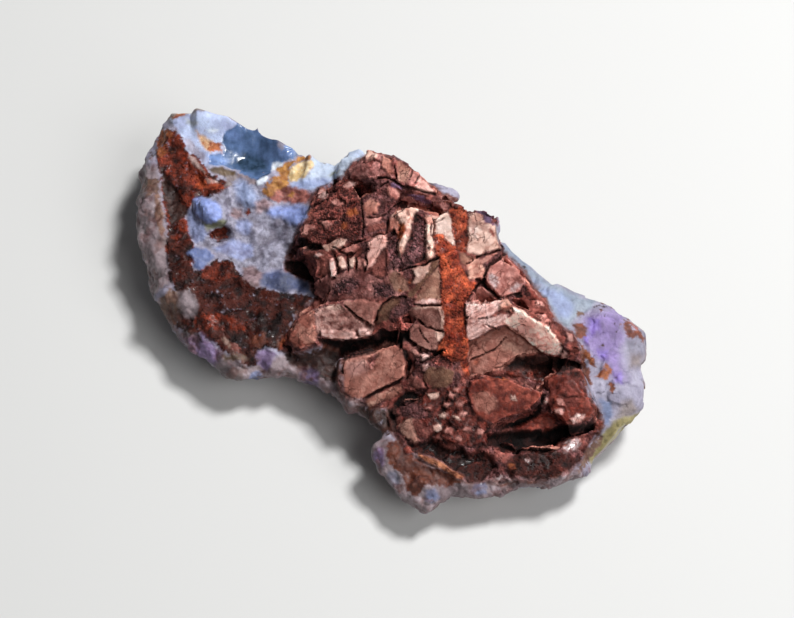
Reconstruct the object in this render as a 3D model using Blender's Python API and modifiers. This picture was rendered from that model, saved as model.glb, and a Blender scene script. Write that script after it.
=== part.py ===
"""A rough opal: a lumpy slab of milky opal with a broken crust of brown ironstone standing on it.

The stone lies on its flat underside, with its long side along X. It is one natural piece, so it is
one solid: the slab and the ironstone blocks are modelled as overlapping shapes and fused into one skin.
Lengths are in millimetres until the last step, which scales the mesh to metres.
"""

import math
import random

import bmesh
import bpy
from mathutils import Matrix, Vector, noise
from mathutils.bvhtree import BVHTree

MM = 0.001

# The stone is laid out as it is seen from the front: across and up are measured on a sheet that
# faces the eye, and height is above the floor. Each line of sight then gives one place on the stone.
SIGHT_TILT = math.radians(60)  # how steeply the eye looks down
SIGHT_TURN = math.radians(26)  # from straight in front of the long side
SIGHT_DISTANCE = 220.6  # from the eye to the middle of the sheet

RIM_GROWTH = 0.15  # makes up for what smoothing takes off the slab's edge
FOOT = 4.0  # height at which the ironstone's roots end inside the slab
TOP_GROWTH = 1.07  # makes neighbouring blocks meet in narrow creases
SHOULDER_DROP = 1.5  # how far below its top a block is already at its full width
SHOULDER_FLARE = 1.12
ROOT_FLARE = 0.95
CROWN_RISE = (0.1, 0.5)  # how far the middle of a block's top stands above its corners
CHAMFER_DROP = (0.1, 0.7)  # how far the middle of a top edge is worn down
VOXEL = 0.2  # size of the cells that fuse the shapes
TRIANGLE_SHARE = 0.04  # what is left of the fused skin's triangles
LUMP_SIZE = 2.6
LUMP_HEIGHT = 1.0
GRAIN_SIZE = 1.3
GRAIN_HEIGHT = 0.45
CAGE_CUTS = 2
SMOOTHING_ROUNDS = 4
BLOCK_SEED = 3
CRAG_SEED = 5
CHIP_SEED = 7
SHARD_CORNERS = 9

# The slab's widest contour, clockwise from its far left corner: across, up, height.
RIM = [
    (-20.5, 20.6, 8.5), (-18.2, 19.8, 9.0), (-15.2, 18.5, 9.0), (-11.7, 17.0, 9.0),
    (-8.7, 15.5, 9.2), (-6.4, 14.7, 9.0), (-4.9, 15.7, 9.5), (-3.2, 16.0, 9.8),
    (0.5, 11.8, 8.5), (4.5, 8.8, 8.5), (8.5, 7.6, 9.0), (10.8, 6.4, 9.6),
    (13.3, 4.6, 10.0), (16.3, 2.5, 9.5), (19.8, 0.8, 8.6), (22.5, -0.3, 7.6),
    (24.8, -2.1, 6.8), (25.2, -3.6, 6.5), (24.4, -5.9, 6.0), (25.0, -9.3, 5.5),
    (23.8, -11.1, 5.0), (20.8, -14.1, 4.5), (18.6, -16.5, 4.5), (14.8, -17.7, 4.2),
    (8.3, -18.9, 4.0), (6.8, -18.3, 4.2), (5.0, -18.8, 4.0), (3.1, -20.3, 4.0),
    (0.3, -18.8, 4.0), (-2.1, -15.9, 4.3), (-2.3, -14.1, 4.5), (-1.4, -12.6, 4.8),
    (-3.2, -10.6, 4.8), (-5.9, -8.6, 4.8), (-8.7, -7.7, 4.5), (-10.9, -6.1, 4.5),
    (-14.2, -7.0, 4.2), (-16.7, -7.0, 4.2), (-19.2, -5.3, 4.2), (-21.5, -2.9, 4.4),
    (-23.7, 0.1, 4.5), (-24.1, 1.1, 4.8), (-25.0, 4.4, 5.0), (-26.1, 7.4, 5.0),
    (-26.0, 10.9, 5.2), (-25.1, 14.1, 5.5), (-23.9, 17.4, 6.5), (-22.5, 19.9, 7.5),
]

# Heights of the slab's upper side: across, up, height.
SLAB_HEIGHTS = [
    (-23.2, 15.9, 7.8), (-20.7, 18.9, 8.8), (-18.2, 15.9, 8.6), (-14.7, 15.9, 8.8),
    (-9.7, 13.9, 9.0), (-6.2, 13.4, 9.0), (-21.2, 11.9, 7.0), (-18.8, 9.9, 8.8),
    (-17.5, 7.4, 6.2), (-12.7, 10.9, 8.0), (-13.7, 6.9, 7.4), (-10.7, 4.9, 7.0),
    (-9.7, 2.4, 6.4), (-22.7, 7.9, 7.0), (-23.0, 3.9, 6.6), (-19.7, 0.9, 6.6),
    (-16.7, -2.1, 6.2), (-12.7, -2.1, 6.2), (-14.7, -5.1, 5.2), (-8.7, -5.1, 5.0),
    (12.3, 5.1, 10.0), (16.3, -0.1, 9.6), (20.3, -2.1, 9.2), (22.3, -4.1, 8.0),
    (20.3, -7.1, 8.2), (22.3, -8.1, 7.4), (23.3, -3.1, 7.9), (21.8, -11.1, 6.4),
    (20.3, -13.1, 5.5), (19.3, -15.1, 5.0), (-0.2, -14.1, 5.6), (0.3, -17.1, 5.0),
    (3.3, -18.6, 4.8), (5.3, -17.1, 5.2), (10.3, -17.6, 4.8), (16.3, -16.6, 5.0),
    (-6.5, 9.5, 9.4), (-1.5, 12.0, 12.0), (3.0, 10.5, 12.2), (-3.0, 8.0, 10.6), (1.5, 7.0, 11.4),
    (6.5, 8.0, 11.6), (-5.5, 5.0, 9.0), (-3.5, 2.5, 9.0), (2.0, 2.5, 10.2), (6.0, 3.5, 10.8),
    (10.5, 3.2, 10.6), (-5.0, -0.5, 7.4), (3.0, -0.5, 9.0), (9.5, -0.5, 10.0), (14.5, -1.5, 10.0),
    (3.0, -3.5, 7.6), (10.5, -4.5, 7.6), (5.0, -7.0, 6.6), (11.0, -9.0, 6.2), (17.0, -8.5, 6.6),
    (-4.0, -3.9, 4.6), (-2.0, -6.5, 5.0), (3.0, -11.0, 5.2), (7.0, -12.0, 5.0), (14.0, -12.2, 4.4),
    (18.0, -12.0, 4.8),
]

# From the rim in towards the slab's spine: how far in, and the share of the way up to the upper
# side, or down to the underside.
UPPER_RINGS = [(0.05, 0.45), (0.12, 0.8), (0.22, 1.0), (0.36, 1.0), (0.52, 1.0), (0.7, 1.0), (0.88, 1.0)]
LOWER_RINGS = [(0.04, 0.25), (0.12, 0.55), (0.24, 0.85), (0.4, 1.05), (0.6, 1.08), (0.85, 1.1)]
SPINE = [(-18.5, 8.0), (17.0, -7.5)]  # across, up, at the height of the slab's middle
SPINE_HEIGHT = 5.0

# The ironstone blocks, each by the corners of its top: across, up, height.
BLOCKS = {
    "back_ridge_left": [
        (-5.2, 13.1, 12.2), (-4.5, 14.6, 12.8), (-2.9, 15.8, 14.0), (-1.2, 15.6, 14.8), (-1.3, 13.1, 14.4),
    ],
    "back_ridge_middle": [
        (-1.0, 15.6, 14.8), (0.5, 14.9, 15.0), (1.7, 13.8, 15.0), (1.1, 12.0, 14.4), (-0.9, 12.8, 14.2),
    ],
    "back_ridge_right": [
        (2.0, 13.7, 14.9), (3.7, 12.2, 14.5), (4.1, 11.3, 14.0), (2.8, 11.1, 13.8), (1.4, 11.9, 14.2),
    ],
    "back_ridge_end": [
        (4.3, 11.2, 14.0), (7.1, 10.3, 14.0), (7.3, 9.4, 13.5), (4.3, 10.1, 13.4),
    ],
    "violet_corner": [
        (7.6, 10.1, 13.8), (9.5, 9.5, 13.6), (10.0, 8.7, 13.4), (10.1, 7.5, 13.0), (8.8, 8.0, 13.2),
    ],
    "upper_left": [
        (-9.7, 8.1, 10.3), (-7.9, 11.4, 10.8), (-5.2, 12.7, 12.0), (-4.1, 10.9, 12.4), (-4.2, 7.4, 11.8),
        (-8.7, 6.9, 10.2),
    ],
    "upper_middle": [
        (-3.8, 10.9, 12.7), (-1.3, 12.5, 13.9), (-0.2, 11.3, 13.9), (-1.1, 7.7, 12.9), (-3.8, 7.3, 12.0),
    ],
    "left_ledge": [
        (-9.5, 6.1, 9.8), (-6.7, 6.9, 10.8), (-4.5, 6.9, 11.8), (-4.7, 4.7, 11.0), (-6.7, 2.7, 9.8),
        (-8.5, 3.9, 9.2),
    ],
    "salmon_ridge": [
        (-4.1, 6.9, 11.8), (-1.2, 7.3, 13.0), (-0.9, 5.9, 12.8), (-2.7, 4.1, 11.8), (-4.5, 4.5, 11.2),
    ],
    "dark_plateau_left": [
        (-6.9, 1.1, 9.2), (-6.3, 2.7, 10.0), (-4.5, 4.1, 10.9), (-2.6, 3.8, 11.7), (-2.6, 0.9, 10.4),
    ],
    "dark_plateau_right": [
        (-2.3, 3.8, 11.8), (-0.8, 5.4, 12.6), (0.4, 3.3, 12.4), (0.8, 1.1, 11.0), (-2.2, 0.9, 10.4),
    ],
    "fluted_left": [
        (-0.8, 6.1, 12.9), (-0.8, 8.4, 13.5), (0.3, 9.9, 14.1), (1.4, 10.1, 14.3), (1.4, 4.7, 13.0),
        (0.3, 3.9, 12.8),
    ],
    "fluted_right": [
        (1.8, 10.1, 14.4), (3.3, 9.7, 14.3), (3.6, 8.7, 14.0), (3.8, 5.1, 13.1), (1.8, 4.4, 12.9),
    ],
    "cream_strip": [
        (4.0, 9.3, 13.7), (5.5, 9.7, 13.8), (5.6, 6.4, 13.2), (4.2, 7.0, 13.2),
    ],
    "cream_face": [
        (7.2, 9.4, 13.7), (8.6, 8.2, 13.7), (9.8, 7.5, 13.4), (10.5, 6.1, 12.9), (8.1, 5.1, 12.7),
        (6.9, 5.9, 12.8),
    ],
    "vein_top": [
        (5.7, 9.8, 13.9), (7.0, 9.7, 13.8), (6.8, 5.9, 12.9), (5.6, 6.2, 13.1),
    ],
    "vein_middle": [
        (4.2, 6.6, 13.2), (6.8, 5.6, 12.9), (7.5, 1.9, 12.2), (4.3, 0.9, 11.7),
    ],
    "vein_foot": [
        (4.3, 0.7, 11.6), (7.2, 1.6, 12.0), (6.9, -3.6, 10.0), (6.5, -5.3, 9.0), (4.7, -4.9, 8.8),
        (4.6, -2.7, 10.0),
    ],
    "olive_face": [
        (1.7, 4.1, 12.5), (3.9, 4.7, 12.7), (4.2, 1.1, 11.5), (1.5, 0.6, 11.0), (0.6, 1.9, 11.2),
    ],
    "tan_step": [
        (1.3, 0.4, 10.8), (4.2, 0.7, 11.0), (4.5, -1.7, 10.0), (2.3, -1.3, 9.9),
    ],
    "pink_step": [
        (0.7, -1.3, 9.8), (2.3, -1.6, 9.9), (4.5, -2.5, 9.7), (3.8, -4.1, 8.9), (1.5, -4.3, 8.5),
        (0.3, -2.9, 8.9),
    ],
    "glint_block": [
        (8.7, 3.9, 12.6), (10.8, 4.8, 13.2), (13.0, 2.8, 12.2), (12.4, 1.3, 11.7), (10.3, 1.1, 11.9),
        (8.8, 2.1, 12.1),
    ],
    "small_wedge": [
        (7.5, 4.6, 12.4), (10.2, 5.7, 12.8), (10.5, 5.1, 12.9), (8.6, 3.6, 12.3), (7.5, 2.3, 12.1),
    ],
    "striated_upper": [
        (7.0, 0.7, 11.9), (11.1, 1.0, 12.6), (11.5, 0.1, 12.3), (8.1, -1.3, 11.5), (6.9, -1.5, 11.1),
    ],
    "striated_lower": [
        (6.9, -1.8, 11.1), (8.3, -1.5, 11.4), (11.5, -0.2, 12.2), (10.3, -2.3, 11.2), (7.2, -3.6, 10.2),
    ],
    "salmon_slope": [
        (11.5, 0.6, 12.9), (13.3, -0.1, 12.7), (17.7, -3.6, 10.6), (16.5, -4.5, 9.5), (14.3, -4.3, 9.3),
        (11.9, -2.4, 10.9),
    ],
    "red_edge_upper": [
        (13.2, 2.6, 12.1), (14.4, 1.2, 11.8), (15.8, -0.6, 11.4), (13.8, -0.1, 12.3), (12.6, 1.1, 12.1),
    ],
    "red_edge_lower": [
        (15.9, -0.7, 11.4), (17.8, -2.9, 10.8), (18.1, -4.2, 10.0), (16.4, -2.8, 10.9), (14.6, -0.9, 12.0),
    ],
    "tan_hollow": [
        (7.3, -3.8, 10.1), (10.3, -2.6, 10.9), (11.8, -2.7, 10.7), (14.2, -4.5, 9.1), (11.3, -5.4, 8.1),
        (7.3, -6.9, 7.5),
    ],
    "gloss_block": [
        (7.5, -7.1, 8.8), (10.3, -6.6, 9.6), (12.3, -7.1, 9.4), (14.6, -8.4, 8.9), (13.3, -10.3, 7.5),
        (9.8, -11.1, 6.9), (7.3, -9.3, 7.7),
    ],
    "right_block": [
        (14.9, -6.9, 8.9), (16.3, -6.3, 9.4), (18.3, -6.1, 9.2), (19.5, -8.3, 8.7), (19.7, -10.1, 8.2),
        (17.1, -11.3, 7.4), (15.1, -9.4, 7.7),
    ],
    "middle_jumble_upper": [
        (2.2, -4.5, 8.7), (6.5, -5.5, 8.9), (7.0, -8.6, 7.8), (4.3, -9.0, 7.4), (1.7, -7.1, 7.7),
    ],
    "middle_jumble_left": [
        (0.8, -9.1, 6.6), (4.2, -8.7, 7.3), (4.8, -11.1, 6.6), (2.3, -13.1, 5.8), (0.5, -11.6, 6.0),
    ],
    "middle_jumble_right": [
        (4.9, -9.2, 7.3), (7.2, -9.5, 7.5), (9.7, -11.4, 6.7), (8.5, -13.8, 5.6), (5.3, -13.3, 5.8),
    ],
    "smooth_salmon": [
        (-5.5, -4.9, 7.2), (-1.9, -4.8, 7.8), (-0.2, -3.6, 8.4), (0.6, -4.3, 8.4), (0.5, -7.3, 6.9),
        (-1.2, -8.8, 6.0), (-4.5, -9.3, 5.6), (-5.4, -7.9, 6.0),
    ],
    "tan_sliver": [
        (-2.9, -9.4, 5.7), (0.2, -7.8, 6.6), (0.7, -8.3, 6.3), (-1.3, -9.7, 5.4),
    ],
    "lower_left_knob": [
        (-8.5, 0.3, 8.8), (-7.9, -0.9, 8.6), (-7.5, -3.3, 7.2), (-9.5, -4.1, 6.4), (-10.8, -2.9, 6.6),
        (-10.1, -1.3, 7.6),
    ],
    "mottled_face": [
        (-7.9, 0.3, 9.0), (-5.2, 0.7, 9.6), (-1.5, -1.7, 9.0), (-2.2, -2.9, 8.0), (-5.2, -3.3, 7.4),
        (-7.3, -2.5, 7.6),
    ],
    "olive_ledge": [
        (-5.1, 0.9, 9.8), (-1.9, 0.7, 10.5), (0.7, 1.0, 10.9), (0.1, -0.9, 10.0), (-1.3, -2.1, 9.0),
    ],
    "orange_sliver": [
        (1.1, -13.8, 5.8), (2.3, -14.2, 6.0), (6.5, -16.3, 5.7), (6.1, -17.1, 5.3), (1.8, -15.2, 5.3),
    ],
    "bottom_jumble_left": [
        (9.3, -13.1, 5.6), (12.3, -14.1, 5.6), (11.5, -16.9, 4.9), (8.3, -16.7, 4.9),
    ],
    "bottom_jumble_right": [
        (12.5, -14.3, 5.8), (17.8, -13.1, 6.2), (18.5, -15.2, 5.4), (15.3, -17.0, 5.0), (11.9, -17.0, 5.0),
    ],
}

# Rounded knobs of opal: across, up, height of the middle, radius.
KNOBS = {
    "blue_knob": (-18.6, 9.7, 7.7, 1.5),
    "left_corner": (-21.6, 17.6, 6.6, 1.7),
    "left_rim_upper": (-23.8, 13.0, 5.2, 1.7),
    "left_rim_middle": (-24.3, 9.0, 4.8, 1.7),
    "left_rim_lower": (-23.7, 5.0, 4.6, 1.6),
    "left_knob": (-22.0, 1.2, 4.6, 1.6),
    "front_rim_left": (-19.6, -2.9, 4.0, 1.6),
    "front_rim_middle": (-16.6, -5.0, 4.0, 1.6),
    "front_rim_right": (-13.0, -5.2, 4.0, 1.5),
    "lobe_left": (-0.6, -14.6, 4.0, 1.6),
    "lobe_tip": (2.4, -17.8, 3.7, 1.8),
    "lobe_right": (6.4, -16.6, 4.0, 1.5),
    "pale_hump": (-4.3, 13.6, 9.0, 1.7),
    "right_corner": (23.2, -3.6, 6.2, 1.7),
    "right_end": (23.0, -8.6, 5.4, 1.7),
    "right_back": (20.2, -1.6, 8.0, 1.6),
}

# Shell-shaped hollows where flakes broke away: across, up and height of the middle, the way the
# hollow faces (turn from +X, rise above level, in degrees), its half width and its depth.
SCOOPS = {
    "glassy_hollow_left": (-16.0, 15.8, 9.2, 40, 75, 3.2, 0.6),
    "glassy_hollow_right": (-12.4, 15.0, 9.2, 60, 75, 3.0, 0.55),
    "knob_hollow": (-17.5, 7.5, 6.4, 290, 70, 1.0, 0.6),
    "tan_hollow_left": (9.4, -4.6, 9.4, 255, 50, 2.2, 0.7),
    "tan_hollow_right": (12.2, -4.1, 9.6, 250, 50, 2.3, 0.8),
    "front_gap_left": (-4.7, -3.9, 6.0, 265, 65, 1.3, 0.6),
    "front_gap_right": (-2.5, -3.9, 6.6, 265, 65, 1.2, 0.6),
    "lower_cavity_left": (13.0, -12.0, 5.6, 265, 70, 1.8, 0.8),
    "lower_cavity_right": (16.4, -12.0, 5.4, 265, 70, 1.8, 0.8),
    "yellow_bevel": (21.6, -13.0, 5.2, 300, 35, 3.2, 0.5),
    "dark_side": (-9.6, 2.8, 8.0, 190, 25, 2.0, 0.6),
}
SCOOP_REACH = 1.15  # how far past its own rim a hollow still bites
SCOOP_UNEVENNESS = 0.35

# Crags on the far side, which the front view hides: how far along the ridge they start and end,
# as places on the sheet, and how many there are.
BACK_RIDGE = [(-3.8, 13.7, 10.6), (9.4, 7.6, 10.0)]
BACK_CRAGS = 14
CRAG_SIZES = (1.2, 1.9)

# Where small chips lie: the middle of the patch, its half width and half height, the height above
# the floor, and how many chips it holds.
CHIP_PATCHES = [
    ((3.4, -11.0), (2.6, 2.2), 6.9, 16),
    ((6.8, -12.0), (2.4, 1.8), 6.5, 12),
    ((14.0, -15.2), (3.6, 1.2), 5.5, 14),
    ((10.0, -15.0), (1.6, 1.6), 5.4, 8),
    ((2.4, -3.0), (1.8, 1.6), 9.4, 8),
    ((-6.5, 4.0), (1.6, 2.0), 10.4, 8),
    ((16.8, -4.6), (1.2, 1.6), 9.8, 7),
    ((5.0, -7.0), (1.8, 1.4), 8.3, 8),
]
CHIP_SIZES = (0.35, 0.8)
CHIP_DROP_HEIGHT = 30.0
FLOOR_BLOCK = 120.0


def place(across, up, height):
    """The point where the line of sight through (across, up) is at this height above the floor."""
    tilt_sin, tilt_cos = math.sin(SIGHT_TILT), math.cos(SIGHT_TILT)
    eye = Vector((0, -SIGHT_DISTANCE * tilt_cos, SIGHT_DISTANCE * tilt_sin))
    mark = Vector((across, up * tilt_sin, up * tilt_cos))
    share = (eye.z - height) / (eye.z - mark.z)
    point = eye.lerp(mark, share)
    turn_sin, turn_cos = math.sin(SIGHT_TURN), math.cos(SIGHT_TURN)
    return Vector((turn_cos * point.x - turn_sin * point.y, turn_sin * point.x + turn_cos * point.y, height))


def blended_height(x, y, marks):
    """The height at (x, y) of a smooth surface that passes near the marks."""
    total = weights = 0.0
    for mark in marks:
        weight = 1 / ((mark.x - x) ** 2 + (mark.y - y) ** 2 + 0.3) ** 2
        total += weight * mark.z
        weights += weight
    return total / weights


def nearest_on_spine(point, start, end):
    """The point of the slab's spine that is nearest in plan."""
    along = (end - start).to_2d()
    share = (point - start).to_2d().dot(along) / along.length_squared
    return start.lerp(end, min(1.0, max(0.0, share)))


def grown(point, spine):
    """The rim's point moved outwards from the spine by the rim's growth."""
    outward = point - nearest_on_spine(point, *spine)
    outward.z = 0
    return point + outward.normalized() * RIM_GROWTH


def ring_of(rim, spine, marks, inset, share, upwards):
    """One closed ring of the slab's cage, between the rim and the spine."""
    ring = []
    for corner in rim:
        point = corner.lerp(nearest_on_spine(corner, *spine), inset)
        goal = blended_height(point.x, point.y, marks) if upwards else 0.0
        ring.append(Vector((point.x, point.y, corner.z + (goal - corner.z) * share)))
    return ring


def opal_slab():
    """The opal: a coarse cage of rings round its spine, smoothed, then raised into lumps."""
    spine = [place(across, up, SPINE_HEIGHT) for across, up in SPINE]
    rim = [grown(place(*corner), spine) for corner in RIM]
    marks = [place(*mark) for mark in SLAB_HEIGHTS]
    rings = [ring_of(rim, spine, marks, inset, share, False) for inset, share in reversed(LOWER_RINGS)]
    rings.append(rim)
    rings += [ring_of(rim, spine, marks, inset, share, True) for inset, share in UPPER_RINGS]

    cage = bmesh.new()
    rows = [[cage.verts.new(point) for point in ring] for ring in rings]
    for lower, upper in zip(rows, rows[1:]):
        for i in range(len(rim)):
            cage.faces.new((lower[i], upper[i], upper[i - 1], lower[i - 1]))
    for row in (rows[0], rows[-1]):
        edges = [cage.edges.get((row[i], row[i - 1])) for i in range(len(row))]
        bmesh.ops.triangle_fill(cage, edges=edges, use_beauty=True)
    bmesh.ops.recalc_face_normals(cage, faces=cage.faces)
    bmesh.ops.subdivide_edges(cage, edges=cage.edges, cuts=CAGE_CUTS, use_grid_fill=True)
    axes = {"use_axis_x": True, "use_axis_y": True, "use_axis_z": True}
    for _ in range(SMOOTHING_ROUNDS):
        bmesh.ops.smooth_vert(cage, verts=cage.verts, factor=0.4, **axes)
    cage.normal_update()
    raised = [(vert, vert.co + vert.normal * lump_at(vert.co)) for vert in cage.verts]
    for vert, point in raised:
        vert.co = point
    return cage


def lump_at(point):
    """How far the opal's surface swells at this point: rounded knobs with creases between them."""
    near = noise.voronoi(point / LUMP_SIZE)[0]
    return LUMP_HEIGHT * (0.45 - near[0]) + GRAIN_HEIGHT * noise.noise(point / GRAIN_SIZE)


def add_block(mesh, corners, rng):
    """Adds one ironstone block: a worn top, a wider shoulder just below it, and roots inside the slab."""
    drawn = [place(*corner) for corner in corners]
    middle = sum(drawn, Vector()) / len(drawn)
    top = [middle.lerp(corner, TOP_GROWTH) for corner in drawn]
    crown = middle.lerp(rng.choice(top), 0.35) + Vector((0, 0, rng.uniform(*CROWN_RISE)))
    points = [*top, crown]
    for corner, neighbour in zip(top, top[1:] + top[:1]):
        worn = middle.lerp((corner + neighbour) / 2, 1.08)
        points.append(worn - Vector((0, 0, rng.uniform(*CHAMFER_DROP))))
        outward = Vector((corner.x - middle.x, corner.y - middle.y, 0))
        shoulder = Vector((middle.x, middle.y, corner.z - SHOULDER_DROP)) + outward * SHOULDER_FLARE
        points += [shoulder, Vector((middle.x, middle.y, FOOT)) + outward * ROOT_FLARE]
    add_hull(mesh, points)


def add_hull(mesh, points):
    """Adds the flat-faced convex body that these points span."""
    verts = [mesh.verts.new(point) for point in points]
    hull = bmesh.ops.convex_hull(mesh, input=verts)
    spare = set(hull["geom_interior"] + hull["geom_unused"]).intersection(verts)
    bmesh.ops.delete(mesh, geom=list(spare), context="VERTS")


def add_shard(mesh, spot, size, rng):
    """Adds an angular lump of this size."""
    corners = []
    for _ in range(SHARD_CORNERS):
        corner = Vector([rng.gauss(0, 1) for _ in range(3)]).normalized()
        corners.append(spot + Vector((corner.x * 1.3, corner.y, corner.z * 0.8)) * size)
    add_hull(mesh, corners)


def add_back_crags(mesh):
    """Breaks up the far wall of the ironstone with angular lumps along the ridge."""
    rng = random.Random(CRAG_SEED)
    start, end = [place(*point) for point in BACK_RIDGE]
    for i in range(BACK_CRAGS):
        spot = start.lerp(end, (i + rng.uniform(0.2, 0.8)) / BACK_CRAGS)
        spot.z += rng.uniform(-2.0, 2.2)
        add_shard(mesh, spot, rng.uniform(*CRAG_SIZES), rng)


def add_knobs(mesh):
    """Swells the opal's edge with rounded knobs."""
    for across, up, height, radius in KNOBS.values():
        middle = place(across, up, height)
        ball = bmesh.ops.create_icosphere(mesh, subdivisions=3, radius=radius)
        for vert in ball["verts"]:
            vert.co = middle + vert.co * (1 + 0.5 * noise.noise((middle + vert.co) / 1.4))


def scoop_out(skin):
    """Presses the shell-shaped hollows into the fused skin."""
    surface = BVHTree.FromBMesh(skin)
    for across, up, height, turn, rise, half_width, depth in SCOOPS.values():
        spot = surface.find_nearest(place(across, up, height) * MM)[0]
        half_width, depth = half_width * MM, depth * MM
        radius = (half_width**2 + depth**2) / (2 * depth)
        turn, rise = math.radians(turn), math.radians(rise)
        facing = Vector((math.cos(turn) * math.cos(rise), math.sin(turn) * math.cos(rise), math.sin(rise)))
        centre = spot + facing * (radius - depth)
        for vert in skin.verts:
            offset = vert.co - centre
            if offset.length < radius and (vert.co - spot).length < half_width * SCOOP_REACH:
                along = offset.dot(facing)
                aside = offset.length_squared - along**2
                uneven = 1 + SCOOP_UNEVENNESS * noise.noise(vert.co / MM / 0.9)
                vert.co -= facing * (along + math.sqrt(radius**2 - aside)) * uneven


def add_chips(mesh):
    """Scatters small angular chips over the rubbly patches, each half sunk where it lies."""
    rng = random.Random(CHIP_SEED)
    surface = BVHTree.FromBMesh(mesh)
    for (across, up), (half_width, half_height), height, count in CHIP_PATCHES:
        for _ in range(count):
            above = place(
                across + rng.uniform(-half_width, half_width),
                up + rng.uniform(-half_height, half_height),
                height,
            )
            above.z = CHIP_DROP_HEIGHT
            spot = surface.ray_cast(above, Vector((0, 0, -1)))[0]
            add_shard(mesh, spot, rng.uniform(*CHIP_SIZES), rng)


def object_of(name, mesh):
    """Makes an object of the mesh, which is used up."""
    data = bpy.data.meshes.new(name)
    mesh.to_mesh(data)
    mesh.free()
    made = bpy.data.objects.new(name, data)
    bpy.context.scene.collection.objects.link(made)
    return made


def apply_modifiers(stone):
    """Replaces the object's mesh by what its modifiers make of it."""
    shaped = stone.evaluated_get(bpy.context.evaluated_depsgraph_get())
    stone.data = bpy.data.meshes.new_from_object(shaped)
    stone.modifiers.clear()


def drop_loose_bodies(skin):
    """Keeps the largest body of the skin, and drops closed pockets inside it and stray specks."""
    unseen = set(skin.verts)
    bodies = []
    while unseen:
        body = {unseen.pop()}
        front = list(body)
        while front:
            here = front.pop()
            around = [edge.other_vert(here) for edge in here.link_edges]
            fresh = [vert for vert in around if vert in unseen]
            unseen.difference_update(fresh)
            body.update(fresh)
            front.extend(fresh)
        bodies.append(body)
    bodies.sort(key=len)
    for body in bodies[:-1]:
        bmesh.ops.delete(skin, geom=list(body), context="VERTS")


def fuse(stone):
    """Fuses the overlapping shapes into one skin and presses the hollows into it."""
    cells = stone.modifiers.new("fuse", "REMESH")
    cells.mode = "VOXEL"
    cells.voxel_size = VOXEL * MM
    apply_modifiers(stone)
    skin = bmesh.new()
    skin.from_mesh(stone.data)
    drop_loose_bodies(skin)
    scoop_out(skin)
    skin.to_mesh(stone.data)
    skin.free()


def thin_and_cut_flat(stone):
    """Leaves only the triangles that the form needs and cuts the resting face flat at floor height."""
    thin = stone.modifiers.new("thin", "DECIMATE")
    thin.ratio = TRIANGLE_SHARE
    thin.use_collapse_triangulate = True
    block = bmesh.new()
    bmesh.ops.create_cube(block, size=FLOOR_BLOCK * MM)
    bmesh.ops.translate(block, vec=(0, 0, -FLOOR_BLOCK * MM / 2), verts=block.verts)
    below_floor = object_of("below_floor", block)
    cut = stone.modifiers.new("cut_flat", "BOOLEAN")
    cut.operation = "DIFFERENCE"
    cut.object = below_floor
    apply_modifiers(stone)
    bpy.data.objects.remove(below_floor)


def set_on_origin(stone):
    """Moves the mesh so that the middle of its box is over the origin and its underside at zero."""
    spots = [vert.co for vert in stone.data.vertices]
    low = Vector(min(spot[axis] for spot in spots) for axis in range(3))
    high = Vector(max(spot[axis] for spot in spots) for axis in range(3))
    middle = Vector(((low.x + high.x) / 2, (low.y + high.y) / 2, low.z))
    stone.data.transform(Matrix.Translation(-middle))
    print("box middle on the layout sheet, mm:", *(round(value / MM, 4) for value in middle))


def stone_material():
    """Brown ironstone, which covers most of what is seen."""
    material = bpy.data.materials.new("ironstone_and_opal")
    material.use_nodes = True
    shader = material.node_tree.nodes["Principled BSDF"]
    shader.inputs["Base Color"].default_value = (0.30, 0.13, 0.10, 1)
    shader.inputs["Roughness"].default_value = 0.55
    shader.inputs["Metallic"].default_value = 0.0
    return material


def main():
    for old in list(bpy.data.objects):
        bpy.data.objects.remove(old)
    mesh = opal_slab()
    add_knobs(mesh)
    rng = random.Random(BLOCK_SEED)
    for corners in BLOCKS.values():
        add_block(mesh, corners, rng)
    add_back_crags(mesh)
    add_chips(mesh)
    bmesh.ops.scale(mesh, vec=(MM, MM, MM), verts=mesh.verts)

    stone = object_of("rough_opal", mesh)
    fuse(stone)
    thin_and_cut_flat(stone)
    set_on_origin(stone)
    stone.data.materials.append(stone_material())


main()
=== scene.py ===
# %% [markdown]
# # A rough opal
#
# The real thing is one natural stone, about 56 mm long: a lumpy slab of milky opal, glassy and dark
# blue at one end, with a broken crust of brown ironstone grown on its upper side. The solid that this
# script loads already has the slab and the big blocks. Here that solid gets its fine surface: chipped
# faces, cracks, sand grains, stains and gloss. First comes the frame, and a note of its box.

# %% Load the solid
import itertools
import math

import bmesh
import bpy
import numpy as np
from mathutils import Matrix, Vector
from mathutils.bvhtree import BVHTree


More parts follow.
